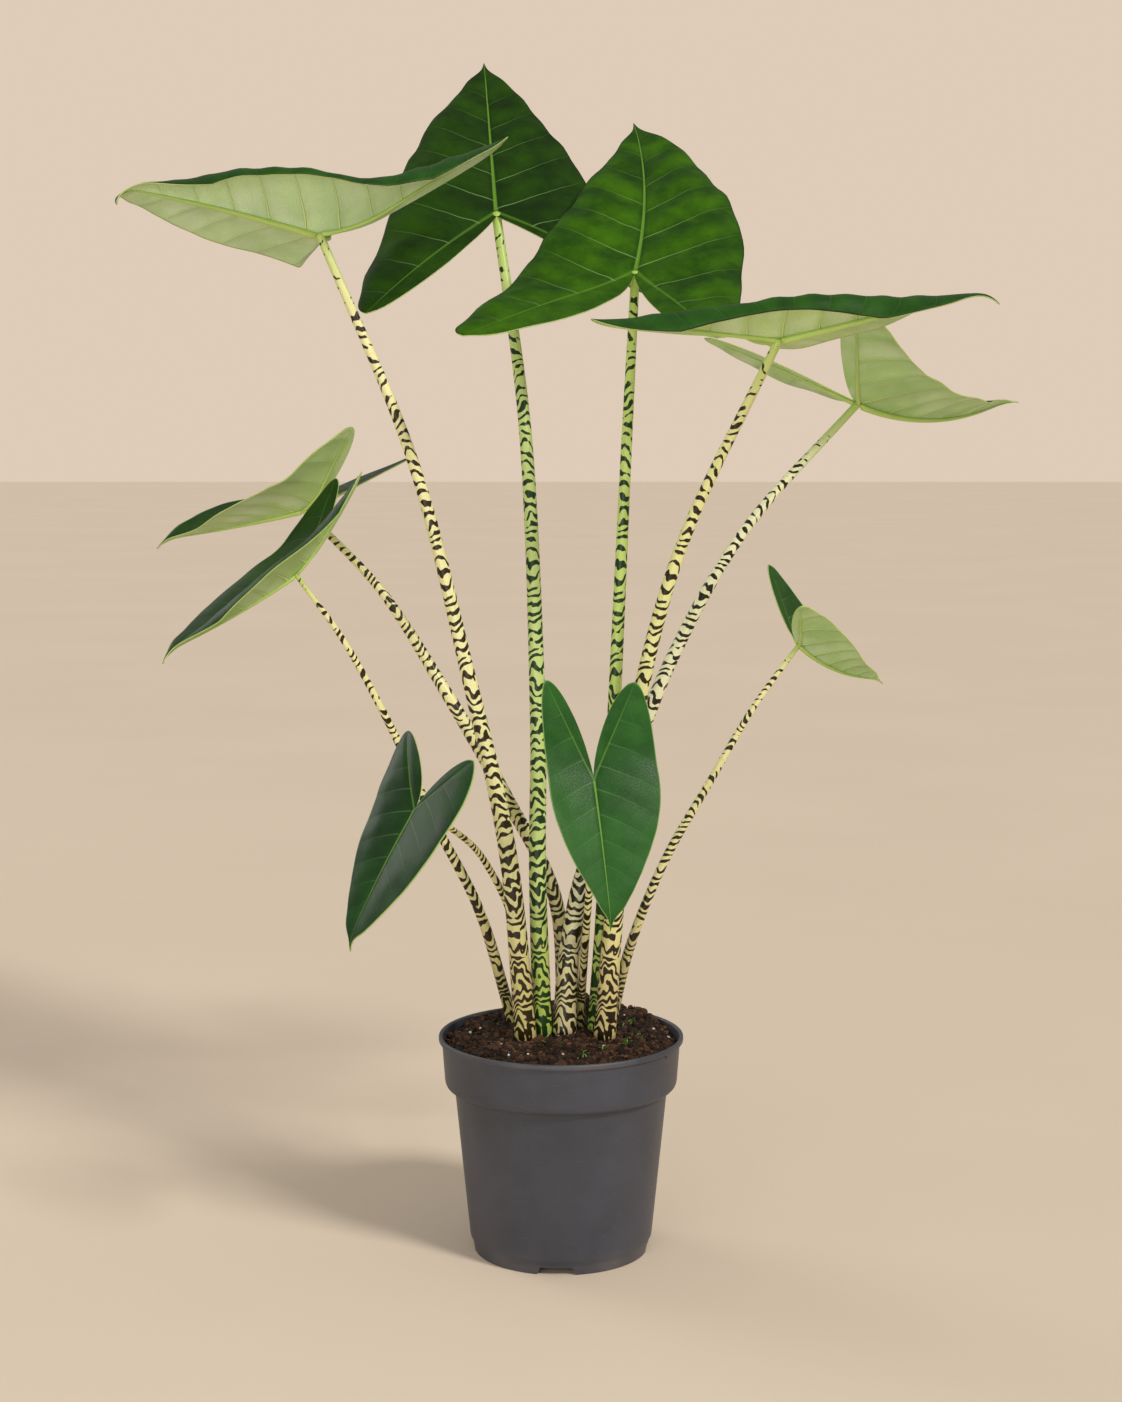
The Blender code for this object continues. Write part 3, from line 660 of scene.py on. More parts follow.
def midrib_turn(leaf, share):
    """How far the midrib slopes down and swings to the right at a share of its length."""
    past_hook = max(0.0, share - HOOK_START) / (1 - HOOK_START)
    slope = radians(leaf.arch * share + leaf.hook * past_hook ** 1.5)
    return slope, radians(leaf.sweep * share)


def midrib_course(leaf):
    """Places of the bent midrib at even steps from the joint to the tip."""
    course = [Vector((0, 0, 0))]
    for step in range(MIDRIB_STEPS):
        slope, swing = midrib_turn(leaf, (step + 0.5) / MIDRIB_STEPS)
        level = cos(slope)
        ahead = Vector((level * sin(swing), level * cos(swing), -sin(slope)))
        course.append(course[-1] + ahead * leaf.length / MIDRIB_STEPS)
    return course


def on_midrib(course, share):
    """Place on the midrib at a share of its length."""
    position = min(share * MIDRIB_STEPS, MIDRIB_STEPS - 1e-6)
    step = int(position)
    return course[step].lerp(course[step + 1], position - step)


def rolled_edge(leaf, side, margin, out):
    """A point of the flat half on the way out to a margin point, with its edge rolled down."""
    reach = margin.length
    across, along = margin / reach
    if out <= EDGE_ROLL_START:
        return across * reach * out, along * reach * out, 0.0
    past = (out - EDGE_ROLL_START) / (1 - EDGE_ROLL_START)
    bearing = atan2(across, along)
    lobe_bearing = atan2(leaf.outlines[side].spread, -leaf.outlines[side].lobe)
    fade = min(bearing, lobe_bearing - bearing) / radians(EDGE_ROLL_FADE)
    turn = radians(leaf.edge[side]) * past * min(1.0, max(0.0, fade))
    on, down = arc((out - EDGE_ROLL_START) * reach, turn)
    radius = EDGE_ROLL_START * reach + on
    return across * radius, along * radius, -down


def blade_point(leaf, course, side, margin, out):
    """A point of the bent blade: out is 0 at the joint and 1 at the margin."""
    across, along, lift = rolled_edge(leaf, side, margin, out)
    fold = radians(leaf.fold[side])
    curl = radians(leaf.curl[side]) * across / (leaf.outlines[side].width * leaf.length)
    flat, rise = arc(across, curl)
    x = flat * cos(fold) - rise * sin(fold) - lift * sin(fold + curl)
    z = flat * sin(fold) + rise * cos(fold) + lift * cos(fold + curl)
    x = x if side else -x
    ahead = max(0.0, along) / leaf.length
    twist = radians(leaf.twist) * ahead
    x, z = x * cos(twist) + z * sin(twist), z * cos(twist) - x * sin(twist)
    place = on_midrib(course, ahead)
    slope, swing = midrib_turn(leaf, ahead)
    back = max(0.0, -along)
    drop, behind, below = lobe_bend(leaf, side, back)
    tilt = slope - drop
    offset = Vector((x * cos(swing), z * sin(tilt) - x * sin(swing), z * cos(tilt)))
    return place + Vector((0, -behind, -below)) + offset


def blade_frame(leaf):
    """Where the blade stands: at its joint, turned to its heading, pitch and roll."""
    turn = Matrix.Rotation(radians(leaf.heading), 4, "Z")
    turn = turn @ Matrix.Rotation(radians(leaf.pitch), 4, "X")
    turn = turn @ Matrix.Rotation(radians(leaf.roll), 4, "Y")
    return Matrix.Translation(leaf.route[-1]) @ turn


def lateral_phase(leaf, side, flat):
    """Which side vein runs through a flat point: whole numbers are on a vein."""
    across, along = flat / leaf.length
    start = (along - VEIN_SLANT * across - VEIN_BOW * across ** 2) / (1 + VEIN_FAN * across)
    return LATERALS * start + FIRST_VEIN + (RIGHT_VEINS_SHIFT if side else 0.0)


def unevenness(flat, scale, seed):
    """Slow random swings over a flat blade, each blade and half with its own seed."""
    return noise.noise(Vector((flat.x * scale, flat.y * scale, seed)))


def scallop(leaf, side, edge):
    """How much the margin stands out or draws in at one of its points: it bulges between the side veins."""
    across, along = edge / leaf.length
    if along < 0.05 and abs(across) < 0.1:
        return 1.0
    unsteady = unevenness(edge, 19, leaf.length * 70 + side * 5)
    bulge = -cos(tau * lateral_phase(leaf, side, edge)) * leaf.tone.veins
    calm = 1 - step_up(along, 0.75, 0.9)
    return 1 + SCALLOP * (0.45 * bulge + 2.6 * unsteady - 0.3) * calm


def skin_height(leaf, side, flat, stored):
    """How far the top stands out at a flat point.

    It is quilted between the side veins, ripples towards the margin and sinks along the ribs.
    """
    scale = leaf.length / TYPICAL_LENGTH
    rib = stored["rib"]
    quilt = step_up(rib, 0.002, 0.02) * step_up(stored["edge"], 0.0, 0.02) * (1 - stored["inner"])
    height = -QUILT_HEIGHT * leaf.tone.veins * cos(tau * stored["vein"]) * quilt * scale
    ripple = step_up(stored["out"], 0.6, 1.0) * step_up(rib, 0.004, 0.03) * (1 - 0.6 * stored["inner"])
    height += RIPPLE_HEIGHT * unevenness(flat, 26, leaf.length * 90 + side * 7) * ripple * scale
    return height - RIB_GROOVE * exp(-(rib / RIB_GROOVE_WIDTH) ** 2) * step_up(flat.length, 0.0, 0.01)


def blade_skin(leaf):
    """The blade's middle surface with its quilting, and what its finish reads stored on its points."""
    halves = [half_margin(outline, leaf.length) for outline in leaf.outlines]
    margin = [(0, point) for point in reversed(halves[0])] + [(1, point) for point in halves[1][1:]]
    lobe_tips = [Vector((outline.spread, -outline.lobe)).normalized() for outline in leaf.outlines]
    course = midrib_course(leaf)
    columns = len(margin) - 1
    made = bmesh.new()
    bmesh.ops.create_grid(made, x_segments=columns, y_segments=BLADE_ROWS, size=0.5)
    layers = {name: made.verts.layers.float.new(name) for name in STORED}
    heights = []
    for vert in made.verts:
        side, edge = margin[round((vert.co.x + 0.5) * columns)]
        edge = edge * scallop(leaf, side, edge)
        out = vert.co.y + 0.5
        flat = edge * out
        lobe_tip = lobe_tips[side]
        from_lobe_rib = flat.x * lobe_tip.y - flat.y * lobe_tip.x
        beside_midrib = flat.y > 0 or flat.dot(lobe_tip) < 0
        stored = {
            "vein": lateral_phase(leaf, side, flat),
            "rib": flat.x if beside_midrib else min(abs(from_lobe_rib), flat.length),
            "edge": (1 - out) * edge.length,
            "out": out,
            "inner": step_up(from_lobe_rib, 0.0, 0.002),
            "ahead": 1.0 if flat.y > 0 else 0.0,
        }
        for name, value in stored.items():
            vert[layers[name]] = value
        heights.append(skin_height(leaf, side, flat, stored))
        vert.co = blade_point(leaf, course, side, edge, out)
    made.verts.ensure_lookup_table()
    made.normal_update()
    shifts = [vert.normal * height for vert, height in zip(made.verts, heights)]
    for vert, shift in zip(made.verts, shifts):
        vert.co += shift
    bmesh.ops.remove_doubles(made, verts=made.verts, dist=0.00004)
    bmesh.ops.transform(made, matrix=blade_frame(leaf), verts=made.verts)
    return made


def rib(leaf, side, margin, neighbour, reach, stoutness):
    """A tapering rib under the blade, from the joint towards a margin point."""
    midrib = midrib_course(leaf)
    start_radius = leaf.radii[2] * stoutness
    course = []
    radii = []
    for step in range(RIB_STEPS + 1):
        share = step / RIB_STEPS
        out = max(0.002, reach * share)
        place = blade_point(leaf, midrib, side, margin, out)
        beside = blade_point(leaf, midrib, side, neighbour, out) - place
        ahead = blade_point(leaf, midrib, side, margin, out + 0.01) - place
        up = beside.cross(ahead) if side else ahead.cross(beside)
        radius = start_radius * (1 - share) ** RIB_TAPER * 0.92 + RIB_END_RADIUS
        radii.append(POINTED if step in (0, RIB_STEPS) else radius)
        course.append(place - up.normalized() * (radii[-1] * RIB_SINK + BLADE_THICKNESS))
    made = tube(course, radii, RIB_SIDES)
    bmesh.ops.transform(made, matrix=blade_frame(leaf), verts=made.verts)
    return made


def ribs(leaf):
    """The midrib and the two lobe ribs."""
    made = []
    lobe = FRONT_STEPS + LOBE_STEPS
    for side, outline in enumerate(leaf.outlines):
        margin = half_margin(outline, leaf.length)
        if side:
            beside_tip = margin[0] + Vector((POINTED, 0))
            made.append(rib(leaf, side, beside_tip, margin[1], MIDRIB_REACH, MIDRIB_STOUTNESS))
        made.append(rib(leaf, side, margin[lobe], margin[lobe + 1], LOBE_RIB_REACH, LOBE_RIB_STOUTNESS))
    return made


def petiole_radius(leaf, share):
    """Radius at a share of the way up the petiole."""
    foot, middle, tip = leaf.radii
    if share < 0.5:
        return foot + (middle - foot) * share * 2
    return middle + (tip - middle) * (share * 2 - 1)


def petiole(leaf):
    """The petiole from a little under the soil to the joint, with a sheath groove near its foot."""
    course = smooth_route(leaf.route, ROUTE_STEPS)
    last = len(course) - 1
    radii = [petiole_radius(leaf, number / last) for number in range(len(course))]
    down = (course[0] - course[1]).normalized()
    axis = (course[-1] - course[-2]).normalized()
    tip = radii[-1]
    end = course[-1] - axis * tip * TIP_DOME
    dome = [end + axis * tip * rise for rise, _ in DOME]
    course = [course[0] + down * SOCKET_SHOWN] + course[:-1] + dome
    radii = [radii[0] * 0.2] + radii[:-1] + [tip * wide for _, wide in DOME]
    length = (Vector(leaf.route[-1]) - Vector(leaf.route[0])).length

    def outline(turn, step):
        height = length * max(0, step - 1) / last
        sheath = 1 - step_up(height, SHEATH_LENGTH * 0.3, SHEATH_LENGTH)
        groove = exp(-((turn - GROOVE_TURN) / GROOVE_WIDTH) ** 2)
        return 1 + sheath * (SHEATH_OVAL * cos(turn * 2) - GROOVE_DEPTH * groove)

    return tube(course, radii, ROUND_STEPS, outline)


def make_leaf(leaf, rib_look):
    """Blade, the ribs under it, and petiole, as three pieces."""
    node = "blade_" + leaf.name
    looks = [blade_top(leaf), blade_underside(leaf)]
    blade = finished_piece(node, blade_skin(leaf), [node], looks)
    thick = blade.modifiers.new("thickness", "SOLIDIFY")
    thick.thickness = BLADE_THICKNESS
    thick.offset = 0.0
    thick.material_offset = 1
    thick.material_offset_rim = 1
    finished_piece("ribs_" + leaf.name, joined(ribs(leaf)), [node], [rib_look])
    node = "petiole_" + leaf.name
    finished_piece(node, petiole(leaf), [node], [zebra(leaf)])


# ---------------- leaf finishes

# DEEP_SHADE darkens the net's own lines and, as painted shade, the blade near its side veins.
DEEP_SHADE = (8, 30, 0)
PALE_VEIN = (150, 190, 120)
MIDRIB_GREEN = (108, 156, 50)
DARK_HEM = (34, 40, 10)
GREEN_HEM = (104, 146, 70)


def vein_masks(finish, leaf, wide):
    """A side vein's line, how near it is, and the painted shade of the quilting between veins: all from 0 to
    1.
    """
    phase = finish.attribute("vein")
    out = finish.attribute("out")
    wobble = (finish.noise(38) - 0.5) * 0.10
    from_vein = finish.maths("PINGPONG", phase + wobble, 0.5) * (leaf.length / LATERALS)
    open_lamina = 1 - finish.attribute("inner")
    thin = wide * (1.1 - out)
    line = (from_vein / thin).rise(1.0, 0.3) * open_lamina * (1 - out * 0.6)
    near = from_vein.rise(leaf.length * 0.04, 0.0) * open_lamina
    # Painted shade: a wave between the side veins that darkens one side of each quilted swell.
    painted_quilt_shade = finish.maths("SINE", (phase + wobble) * tau) * 0.5 * open_lamina + 0.5
    return line, near, painted_quilt_shade


def net_gaps(finish):
    """The lines of the faint net between the side veins."""
    return finish.cells(420, "DISTANCE_TO_EDGE").rise(0.10, 0.0)


def blade_top(leaf):
    """Deep satin green with sunken pale veins, painted shade beside and between them, a lighter midrib and a
    thin margin.
    """
    tone = leaf.tone
    finish = Finish("blade_top_" + leaf.name, Specular_IOR_Level=0.5 - tone.gloss * 0.7)
    line, near, painted_quilt_shade = vein_masks(finish, leaf, 0.0011)
    net = net_gaps(finish)
    cloud = finish.noise(11, 3, 0.6)
    grain = finish.noise(90, 4, 0.65)
    streaks = finish.noise(34, 3, 0.6)
    # The noises are the blade's own mottling; the term from the veins' wave is painted shade of the
    # quilting.
    lit = cloud * 0.5 + streaks * 0.3 + grain * 0.2 + (painted_quilt_shade - 0.5) * 0.07 * tone.veins
    finish.base(lit.rise(0.34, 0.68), tone.deep, tone.fresh)
    # The net's lines are the blade's own; the darkening near each side vein is painted shade of the
    # quilting.
    finish.cover(net * 0.14 + near * 0.12 * tone.veins, DEEP_SHADE)
    finish.cover(line * 0.8 * tone.veins, finish.mix(0.55, tone.fresh, PALE_VEIN))
    ahead = finish.attribute("ahead")
    wide = 0.0019 * (leaf.length / TYPICAL_LENGTH) * (1.12 - finish.attribute("out"))
    from_rib = finish.attribute("rib") / wide
    finish.cover(from_rib.rise(3.0, 0.8) * ahead * 0.35, DEEP_SHADE)
    finish.cover(from_rib.rise(1.0, 0.4) * (ahead * 0.45 + 0.35), MIDRIB_GREEN)
    hem = DARK_HEM if tone.veins > 0.6 else GREEN_HEM
    finish.cover(finish.attribute("edge").rise(0.0013, 0.0004), hem)
    relief = finish.bump(1 - near * 0.7, 0.0006 * tone.veins, 0.7)
    relief = finish.bump(grain * 0.5 - net * 0.5, 0.00018, 0.5, relief)
    return finish.done(relief, cloud.rise(0.2, 0.8) * 0.10 + net * 0.04 + tone.gloss)


def blade_underside(leaf):
    """Pale yellow-green with raised veins, painted shade beside and between them, and a painted whitish
    sheen between them.
    """
    under = leaf.tone.under
    finish = Finish("blade_underside_" + leaf.name, Specular_IOR_Level=0.35)
    line, near, painted_quilt_shade = vein_masks(finish, leaf, 0.0015)
    net = net_gaps(finish)
    cloud = finish.noise(18, 3, 0.6)
    # Painted sheen: whitish patches between the veins stand in for light glancing off the underside.
    painted_sheen = finish.noise(26).rise(0.42, 0.70) * (1 - near)
    finish.base(cloud.rise(0.3, 0.7), finish.mix(0.32, under, (92, 138, 62)), under)
    finish.cover(painted_sheen * 0.40, (220, 230, 206))
    # Painted shade beside the side veins and of the quilting between them.
    finish.cover(near * (1 - line) * 0.06 + painted_quilt_shade * 0.08, (84, 130, 52))
    finish.cover(net * 0.14, (104, 146, 74))
    finish.cover(line * 0.85, (212, 230, 146))
    finish.cover(finish.attribute("edge").rise(0.0020, 0.0008), (176, 196, 112))
    relief = finish.bump(line + near * 0.4, 0.0010)
    relief = finish.bump(1 - net, 0.0002, 0.6, relief)
    return finish.done(relief, cloud.rise(0.2, 0.8) * 0.12 + 0.40)


def rib_finish():
    """Waxy yellow-green of the midrib and lobe ribs."""
    finish = Finish("rib", 0.42, Coat_Weight=0.1, Coat_Roughness=0.35)
    streak = finish.drawn_out(finish.place_on("straight"), (900, 900, 60), 3, 0.6)
    finish.base(finish.attribute("share"), (182, 206, 104), (160, 190, 100))
    finish.cover(streak.rise(0.45, 0.75) * 0.4, (130, 166, 76))
    return finish.done(finish.bump(streak, 0.0002, 0.5))


def zebra(leaf):
    """Pale ground with broken, wavering dark bands, denser and browner towards the foot."""
    tone = leaf.tone
    finish = Finish("zebra_" + leaf.name, Specular_IOR_Level=0.30, Coat_Weight=0.08, Coat_Roughness=0.28)
    place = finish.place_on("straight")
    along = finish.part_of(place, 2)
    fork = finish.maths("ABSOLUTE", finish.part_of(place, 0)) / leaf.radii[0]
    share = finish.attribute("share")
    wander = finish.drawn_out(place, (80, 80, 40), 1)
    broken = finish.drawn_out(place, (150, 150, 130), 1)
    streak = finish.drawn_out(place, (500, 500, 30), 3, 0.6)
    foot = along.rise(0.16, 0.04)
    top = share.rise(0.84, 0.99)
    bands = along / tone.pitch + wander * (foot * 3.2 + 3.4) - fork * foot * 0.5
    wave = finish.maths("SINE", bands * tau) * 0.60 + (broken - 0.5) * 2.8
    level = share * 0.48 + top * 0.8 - 0.12
    dark = (wave - level).rise(-0.05, 0.14)
    finish.base(foot * 0.85, tone.ground, tone.foot)
    finish.cover(foot * wander.rise(0.5, 0.62) * 0.5, (196, 164, 138))
    finish.cover(streak.rise(0.45, 0.75) * 0.38, (170, 192, 92))
    finish.cover(top, (160, 192, 84))
    finish.cover(dark, finish.mix(streak.rise(0.5, 0.8) * 0.30, tone.bands, (70, 56, 22)))
    relief = finish.bump(streak, 0.0003, 0.5)
    return finish.done(finish.bump(dark, 0.0002, 0.4, relief), streak * 0.12 + 0.34)


# ---------------- pot

def inner_wall(height):
    """Inner radius of the pot body, below the collar, at a height."""
    share = (height - BODY_FOOT_HEIGHT) / (POT_HEIGHT - COLLAR_DEPTH - STEP_DROP - BODY_FOOT_HEIGHT)
    return BODY_FOOT_RADIUS + share * (STEP_RADIUS - BODY_FOOT_RADIUS) - WALL


def pot_profile():
    """The whole wall of the pot, from the rim down the outside, under the base and up the inside."""
    collar = POT_HEIGHT - COLLAR_DEPTH
    rim = POT_HEIGHT - RIM_DROP
    floor = BASE_LIFT + WALL
    ring = FOOT_RADIUS - FOOT_RING
    return rounded([
        (RIM_RADIUS - RIM_TOP, POT_HEIGHT, 0),
        (RIM_RADIUS, POT_HEIGHT, 0.0020),
        (RIM_RADIUS, rim + 0.0004, 0.0012),
        (COLLAR_TOP_RADIUS, rim, 0.0005),
        (COLLAR_BOTTOM_RADIUS, collar, 0.0055),
        (STEP_RADIUS, collar - STEP_DROP, 0.0012),
        (BODY_FOOT_RADIUS, BODY_FOOT_HEIGHT, 0.0008),
        (FOOT_RADIUS + 0.0012, 0.0085, 0.0010),
        (FOOT_RADIUS, 0.0, 0.0008),
        (ring, 0.0, 0.0008),
        (ring, BASE_LIFT, 0.0008),
        (0.0, BASE_LIFT, 0),
    ]) + rounded([
        (0.0, floor, 0),
        (inner_wall(floor), floor, 0.004),
        (inner_wall(collar), collar + WALL, 0.0015),
        (COLLAR_BOTTOM_RADIUS - WALL, collar + WALL, 0.003),
        (RIM_RADIUS - RIM_TOP - 0.001, POT_HEIGHT - 0.001, 0.0005),
        (RIM_RADIUS - RIM_TOP, POT_HEIGHT, 0),
    ])


def cutter(made, degrees, place):
    """A helper object for cutting, turned about the pot's axis."""
    rotate(made, made.verts, radians(degrees), "Z")
    bmesh.ops.translate(made, verts=made.verts, vec=place)
    return placed("cutter", mesh_from(made, "cutter"))


def foot_notch(number):
    """A wedge that opens the foot ring, wider at the floor."""
    made = bmesh.new()
    bmesh.ops.create_cube(made, size=1.0)
    for vert in made.verts:
        low = vert.co.z < 0
        width = 2 * NOTCH_FLOOR_WIDTH - NOTCH_TOP_WIDTH if low else NOTCH_TOP_WIDTH
        height = -NOTCH_HEIGHT if low else NOTCH_HEIGHT
        vert.co = Vector((vert.co.x * width, -FOOT_RADIUS + vert.co.y * NOTCH_REACH, height))
    return cutter(made, NOTCH_TURN + number * 360 / NOTCHES, (0, 0, 0))


def drain_hole(number):
    """A round hole through the base."""
    made = bmesh.new()
    bmesh.ops.create_cone(made, cap_ends=True, segments=32, radius1=DRAIN_RADIUS, radius2=DRAIN_RADIUS,
                          depth=0.012)
    bearing = radians(NOTCH_TURN + (number + 0.5) * 360 / DRAINS)
    place = (DRAIN_CIRCLE * cos(bearing), DRAIN_CIRCLE * sin(bearing), BASE_LIFT)
    return cutter(made, 0, place)


def cut_away(made, helpers):
    """The bmesh with every helper cut out of it."""
    whole = placed("uncut", mesh_from(made, "uncut"))
    for helper in helpers:
        modifier = whole.modifiers.new("cut", "BOOLEAN")
        modifier.operation = "DIFFERENCE"
        modifier.solver = "EXACT"
        modifier.object = helper
    graph = bpy.context.evaluated_depsgraph_get()
    result = bpy.data.meshes.new_from_object(whole.evaluated_get(graph))
    made = bmesh.new()
    made.from_mesh(result)
    for leftover in [whole] + helpers:
        bpy.data.objects.remove(leftover)
    return made


def make_pot():
    """The nursery pot: rolled rim, deep collar, tapered body and notched foot ring."""
    helpers = [foot_notch(number) for number in range(NOTCHES)]
    helpers += [drain_hole(number) for number in range(DRAINS)]
    made = cut_away(turned(pot_profile(), POT_STEPS), helpers)
    piece = finished_piece("pot", made, ["pot"], [moulded_plastic()])
    piece.data.set_sharp_from_angle(angle=radians(SHARP_ANGLE))


def moulded_plastic():
    """Charcoal plastic with a fine moulded grain, faint dust and a scuffed rim and foot."""
    finish = Finish("moulded_plastic", Specular_IOR_Level=0.42)
    place = finish.object_place()
    height = finish.part_of(place, 2)
    cloud = finish.noise(9, 4, 0.6)
    grain = finish.noise(1400)
    specks = finish.cells(260).rise(0.10, 0.03) * finish.noise(22).rise(0.42, 0.56)
    scratches = finish.drawn_out(place, (40, 40, 900))
    rim_dust = height.rise(POT_HEIGHT - 0.010, POT_HEIGHT) * cloud.rise(0.4, 0.7)
    foot_dust = height.rise(0.020, 0.004) * cloud.rise(0.35, 0.7)
    finish.base(cloud.rise(0.3, 0.75), (56, 58, 66), (70, 72, 82))
    finish.cover(scratches.rise(0.60, 0.78) * 0.10, (120, 120, 126))
    finish.cover((rim_dust + foot_dust) * 0.22, (134, 122, 108))
    finish.cover(specks * 0.6, (150, 142, 128))
    relief = finish.bump(scratches, 0.0001, 0.35, finish.bump(grain, 0.00012, 0.5))
    return finish.done(relief, cloud * 0.12 + grain.rise(0.3, 0.7) * 0.05 + 0.38)


# ---------------- potting mix

def mound_height(radius):
    """Height of the smooth mound at a distance from the axis."""
    for (start, high), (end, low) in zip(MOUND, MOUND[1:]):
        if radius <= end:
            share = (radius - start) / (end - start)
            return high + (low - high) * share
    return MOUND[-1][1]


def soil_height(x, y):
    """Height of the lumpy surface of the mix."""
    radius = hypot(x, y)
    lumps = noise.fractal(Vector((x * LUMP_SCALE, y * LUMP_SCALE, 3.0)), 0.8, 2.2, 4)
    crumbs = noise.fractal(Vector((x * CRUMB_SCALE, y * CRUMB_SCALE, 9.0)), 0.7, 2.1, 3)
    calm = 1 - 0.45 * step_up(radius, 0.088, 0.100)
    back = step_up(y, 0.01, 0.075) * BACK_RISE * (1 + step_up(x, -0.03, 0.03))
    return mound_height(radius) + (LUMP_HEIGHT * lumps + CRUMB_HEIGHT * crumbs + back) * calm


def make_soil():
    """The mix: a lumpy mound that fills the pot."""
    rim = MOUND[-1][0]
    rings = [(rim * ring / SOIL_RINGS, SOIL_TOP) for ring in range(SOIL_RINGS + 1)]
    collar = POT_HEIGHT - COLLAR_DEPTH
    floor = BASE_LIFT + WALL + 0.0004
    above = floor + SOIL_CORNER
    wall = [(COLLAR_BOTTOM_RADIUS - WALL - SOIL_GAP, collar + 0.008), (inner_wall(collar) - 0.0008, collar),
            (inner_wall(above) - SOIL_GAP, above), (inner_wall(floor) - SOIL_CORNER, floor), (0.0, floor)]
    made = turned(rings + wall, SOIL_STEPS)
    for vert in made.verts:
        if vert.co.z > SOIL_TOP - 0.0001:
            vert.co.z = soil_height(vert.co.x, vert.co.y)
    finished_piece("soil", made, ["soil"], [peat()])


def lay(whole, verts, x, y, sink=0.0):
    """Move a small thing from the origin to its place on the mix, sunk in a little."""
    place = Vector((x, y, 0))
    place.z = soil_height(place.x, place.y) - sink
    bmesh.ops.translate(whole, verts=verts, vec=place)


def scatter(name, count, seed, make_grain, look):
    """Many small pieces lying on the mix, as one piece."""
    chance = random.Random(seed)
    whole = bmesh.new()
    tint = whole.verts.layers.float.new("tint")
    for _ in range(count):
        verts = make_grain(whole, chance)
        radius = GRAIN_REACH * sqrt(chance.random())
        bearing = chance.uniform(0, tau)
        lay(whole, verts, radius * cos(bearing), radius * sin(bearing))
        shade = chance.random()
        for vert in verts:
            vert[tint] = shade
    finished_piece(name, whole, ["soil"], [look], smooth=False)


def clod(smoothness, smallest, largest, rarity=1, widest=None):
    """A maker of dented lumps. rarity makes large ones rarer, widest lets their sides differ."""
    def make(whole, chance):
        verts = bmesh.ops.create_icosphere(whole, subdivisions=smoothness, radius=1.0)["verts"]
        size = smallest + (largest - smallest) * chance.random() ** rarity
        sides = [size * chance.uniform(0.6, widest) if widest else size for _ in range(3)]
        for vert in verts:
            vert.co *= 1 + DENT * noise.noise(vert.co * 1.7 + Vector((chance.random() * 9, 0, 0)))
        bmesh.ops.scale(whole, verts=verts, vec=sides)
        for axis in "XYZ":
            rotate(whole, verts, chance.uniform(0, tau), axis)
        return verts
    return make


def bark_chip(whole, chance):
    """A flat chip of bark."""
    verts = bmesh.ops.create_cube(whole, size=2.0)["verts"]
    for vert in verts:
        vert.co.x += chance.uniform(-0.3, 0.3)
        vert.co.y += chance.uniform(-0.3, 0.3)
    size = (chance.uniform(0.0015, 0.0045), chance.uniform(0.0008, 0.0022), chance.uniform(0.0003, 0.0008))
    bmesh.ops.scale(whole, verts=verts, vec=size)
    for axis, limit in (("X", 0.5), ("Y", 0.5), ("Z", tau)):
        rotate(whole, verts, chance.uniform(-limit, limit), axis)
    return verts


def root_thread(whole, chance):
    """A thin dead fibre lying on the mix."""
    verts = bmesh.ops.create_grid(whole, x_segments=7, y_segments=1, size=0.5)["verts"]
    bend = chance.uniform(-0.004, 0.004)
    length = chance.uniform(0.006, 0.016)
    for vert in verts:
        vert.co = Vector((vert.co.x * length, vert.co.y * 0.0006 + bend * (vert.co.x * 2) ** 2, 0.0012))
    rotate(whole, verts, chance.uniform(0, tau), "Z")
    return verts


def make_sprouts():
    """Small green shoots in a few clumps on the mix."""
    chance = random.Random(31)
    whole = bmesh.new()
    for x, y, count in SPROUT_CLUMPS:
        for _ in range(count):
            verts = bmesh.ops.create_grid(whole, x_segments=2, y_segments=6, size=0.5)["verts"]
            height = chance.uniform(*SPROUT_HEIGHTS)
            lean = chance.uniform(*SPROUT_LEANS)
            for vert in verts:
                up = vert.co.y + 0.5
                wide = SPROUT_WIDTH * (1 - up) ** 0.6 + 0.0001
                vert.co = Vector((vert.co.x * 2 * wide, lean * up ** 2 + abs(vert.co.x) * wide, height * up))
            rotate(whole, verts, chance.uniform(0, tau), "Z")
            beside = chance.gauss(0, SPROUT_SPREAD)
            lay(whole, verts, x + beside, y + chance.gauss(0, SPROUT_SPREAD), SPROUT_SINK)
    piece = finished_piece("sprouts", whole, ["soil"], [shoot_green()])
    piece.modifiers.new("thickness", "SOLIDIFY").thickness = SPROUT_THICKNESS


def peat():
    """Dark crumbly peat, with painted shade in the hollows between its clods."""
    finish = Finish("peat", Specular_IOR_Level=0.25)
    clods = finish.cells(230)
    cloud = finish.noise(60, 4, 0.65)
    grain = finish.noise(700, 3, 0.6)
    finish.base(cloud.rise(0.32, 0.68), (24, 17, 12), (58, 40, 28))
    finish.cover(grain.rise(0.50, 0.74) * 0.7, (96, 66, 46))
    # Painted shade: the mix is darkened towards the edges of its clods, where the hollows between them lie.
    finish.cover(clods.rise(0.45, 0.75) * 0.6, (18, 12, 9))
    relief = finish.bump(clods, 0.0018, 0.9)
    return finish.done(finish.bump(grain, 0.0010, 0.9, relief), grain * 0.2 + 0.72)


def tinted(name, dark, light):
    """A rough finish whose shade varies from grain to grain."""
    finish = Finish(name, Specular_IOR_Level=0.25)
    grain = finish.noise(900, 3, 0.6)
    shade = finish.attribute("tint") + (grain - 0.5) * 0.6
    finish.base(shade.rise(0.1, 0.95), dark, light)
    return finish.done(finish.bump(grain, 0.0006, 0.8), grain * 0.15 + 0.78)


def shoot_green():
    """Fresh green of small shoots, in lighter and darker patches."""
    finish = Finish("shoots")
    cloud = finish.noise(300)
    finish.base(cloud.rise(0.35, 0.65), (58, 104, 28), (128, 168, 60))
    return finish.done(finish.bump(cloud, 0.0003, 0.5))


